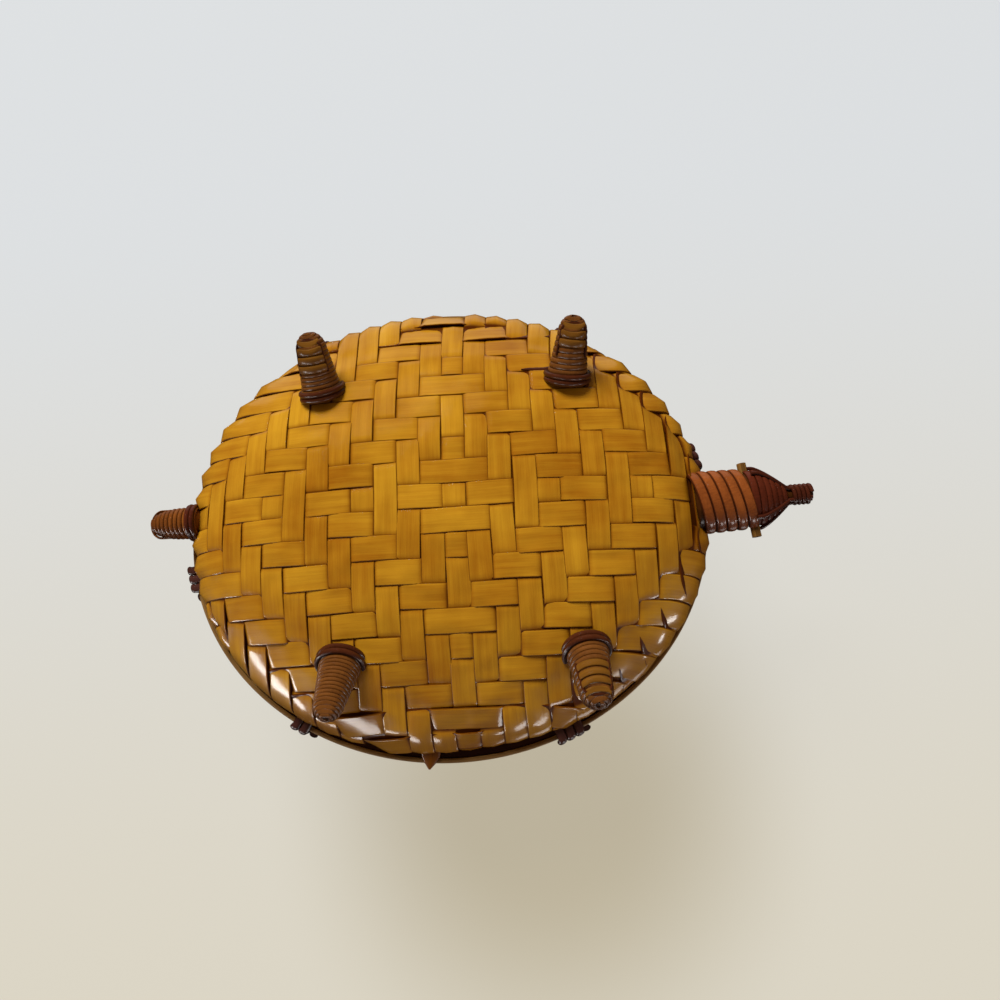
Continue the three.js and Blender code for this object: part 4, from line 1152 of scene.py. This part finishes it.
strand_points = TAIL_AXIS.at(strand_reach, tail_over * np.sin(strand_lean), 0.0)
strand_out = np.cos(strand_lean)[:, None] * TAIL_AXIS.along + np.sin(strand_lean)[:, None] * TAIL_AXIS.across
tail_strand = path(strand_points, strand_out, tone=0.3)
cane("tail_strand", [tail_strand], TAIL_STRAND_WIDTH, TAIL_STRAND_THICKNESS, TAIL_CANE, "base")
tail_ring = TAIL_AXIS.coil(TAIL_ROOT - 3.6 * MM, TAIL_ROOT - 0.2 * MM, TAIL_RING_PITCH,
                           steady(TAIL_RING_RADIUS))
cane("tail_ring", [tail_ring], TAIL_RING_WIDTH, TAIL_RING_THICKNESS, STRAND_CANE, "base")
binding("tail_binding", TAIL_AXIS, TAIL_TENON_END, TAIL_TENON_RADIUS, "tail_tie")

# %% [markdown]
# ## Stage and light
# The photograph's table lies behind the upturned basket, against the top of the lid, so the stage has a
# sheet there that only shows from below, with the basket's soft shade painted on. A second sheet under the
# feet shows only from above, for the other views. Neither of them throws shadow or bounces light. A soft
# lamp over the far side, two weak ones at the near corners and an even world light the belly, and one lamp
# lights the back. Varnish shows every lamp as a highlight, so highlights have lamps of their own, which
# light nothing else and sit where the photograph's do.

# %% Two one-sided sheets
SHEET_HALF = 0.9
SHEET_FADE = 0.2
SHADE_CENTRE = (20 * MM, 110 * MM)
SHADE_REACH = 95 * MM


def sheet_finish(name, near, far, glow, shadow=None):
    """A sheet, clear behind, whose painted light fades from near to far; shadow is painted shade round one
    place.
    """
    material = bpy.data.materials.new(name)
    nodes = fresh_nodes(material)
    place = nodes.add("ShaderNodeTexCoord", out=3)
    across = nodes.add("ShaderNodeSeparateXYZ", None, {0: place}, out=1)
    # Painted light: the near side is warmer and a little dimmer, the far side cool white, as the light falls
    shade = nodes.mix(across.ramp(SHEET_FADE, -SHEET_FADE), colour(*near), colour(*far))
    if shadow:
        x, y = SHADE_CENTRE
        away = nodes.add("ShaderNodeVectorMath", {"operation": "MULTIPLY_ADD"},
                         {0: place, 1: (1 / SHADE_REACH, 1 / SHADE_REACH, 0.0),
                          2: (-x / SHADE_REACH, -y / SHADE_REACH, 0.0)})
        away = nodes.add("ShaderNodeVectorMath", {"operation": "LENGTH"}, {0: away}, out=1)
        shade = nodes.mix(0.6 * away.ramp(1.3, 0.3), shade, colour(*shadow))
    lit = nodes.add("ShaderNodeMixShader", None, {
        0: glow, 1: nodes.add("ShaderNodeBsdfDiffuse", None, {"Color": shade}),
        2: nodes.add("ShaderNodeEmission", None, {"Color": shade})})
    clear = nodes.add("ShaderNodeBsdfTransparent")
    behind = nodes.add("ShaderNodeNewGeometry", out=6)
    nodes.add("ShaderNodeOutputMaterial", None,
              {"Surface": nodes.add("ShaderNodeMixShader", None, {0: behind, 1: lit, 2: clear})})
    return material


def stage_sheet(name, height, facing, finish):
    corners = [(x * SHEET_HALF, y * SHEET_HALF, height) for x, y in ((-1, -1), (1, -1), (1, 1), (-1, 1))]
    mesh = bpy.data.meshes.new(name)
    mesh.from_pydata(corners, [], [(0, 1, 2, 3) if facing > 0 else (3, 2, 1, 0)])
    mesh.materials.append(finish)
    sheet = linked(name, mesh)
    for ray in ("visible_shadow", "visible_diffuse", "visible_glossy", "visible_transmission"):
        setattr(sheet, ray, False)
    return sheet


TABLE_GAP = 0.5 * MM
TABLE_GLOW = 0.92
FLOOR_GAP = 0.3 * MM
FLOOR_GLOW = 0.5
TABLE_TOP = sheet_finish("table_top", (220, 214, 198), (220, 223, 225), TABLE_GLOW, (172, 158, 124))
FLOOR_TOP = sheet_finish("floor_top", (222, 222, 220), (222, 222, 220), FLOOR_GLOW)
table = stage_sheet("table", cad_box[1].z + TABLE_GAP, -1, TABLE_TOP)
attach(table, "lid")
floor = stage_sheet("floor", -FLOOR_GAP, 1, FLOOR_TOP)
print("stage:", table.name, floor.name)

# %% Lamps and world
def lamp(name, place, aim, size, power, shine=False):
    """A soft lamp. It either lights surfaces or, with shine, only shows as a highlight in varnish."""
    light = bpy.data.lights.new(name, "AREA")
    light.shape = "ELLIPSE"
    light.size, light.size_y = size
    light.energy = power
    holder = linked(name, light)
    holder.location = place
    holder.rotation_euler = (Vector(aim) - Vector(place)).to_track_quat("-Z", "Y").to_euler()
    holder.visible_diffuse = not shine
    holder.visible_glossy = shine


def even_world(shade, strength):
    """The same weak light from everywhere, weaker still as varnish mirrors it."""
    world = bpy.data.worlds.new("even_light")
    nodes = fresh_nodes(world)
    mirrored = nodes.add("ShaderNodeLightPath", out=3)
    ground = nodes.add("ShaderNodeBackground", None,
                       {"Color": shade, "Strength": strength * (1 - 0.8 * mirrored)})
    nodes.add("ShaderNodeOutputWorld", None, {"Surface": ground})
    bpy.context.scene.world = world


BELLY_AIM = (-0.013, 0.0, 0.02)
BACK_AIM = (-0.013, 0.0, 0.06)
lamp("far_window", (-0.65, -1.5, -1.4), BELLY_AIM, (1.2, 1.0), 60.0)
lamp("left_window", (-1.2, 0.75, -0.2), BELLY_AIM, (0.8, 0.6), 3.6)
lamp("right_window", (1.25, 0.6, -0.2), BELLY_AIM, (0.8, 0.6), 3.8)
lamp("left_shine", (-0.85, 0.55, -0.02), BELLY_AIM, (0.42, 0.18), 3.6, shine=True)
lamp("near_shine", (-0.45, 0.9, -0.05), BELLY_AIM, (0.4, 0.22), 2.6, shine=True)
lamp("low_shine", (0.35, 0.9, -0.1), BELLY_AIM, (0.4, 0.22), 2.0, shine=True)
lamp("right_shine", (0.8, 0.6, -0.02), BELLY_AIM, (0.22, 0.12), 1.2, shine=True)
lamp("far_shine", (-0.1, -1.0, 0.15), BELLY_AIM, (1.6, 1.0), 1.6, shine=True)
lamp("upper_window", (-1.0, -1.0, 1.7), BACK_AIM, (1.2, 1.0), 44.0)
lamp("upper_shine", (0.5, 0.95, 0.75), BACK_AIM, (0.8, 0.4), 1.6, shine=True)
even_world(colour(246, 212, 176), 0.18)
bpy.context.scene.view_settings.view_transform = "Standard"
print("lamps:", [light.name for light in bpy.data.lights])
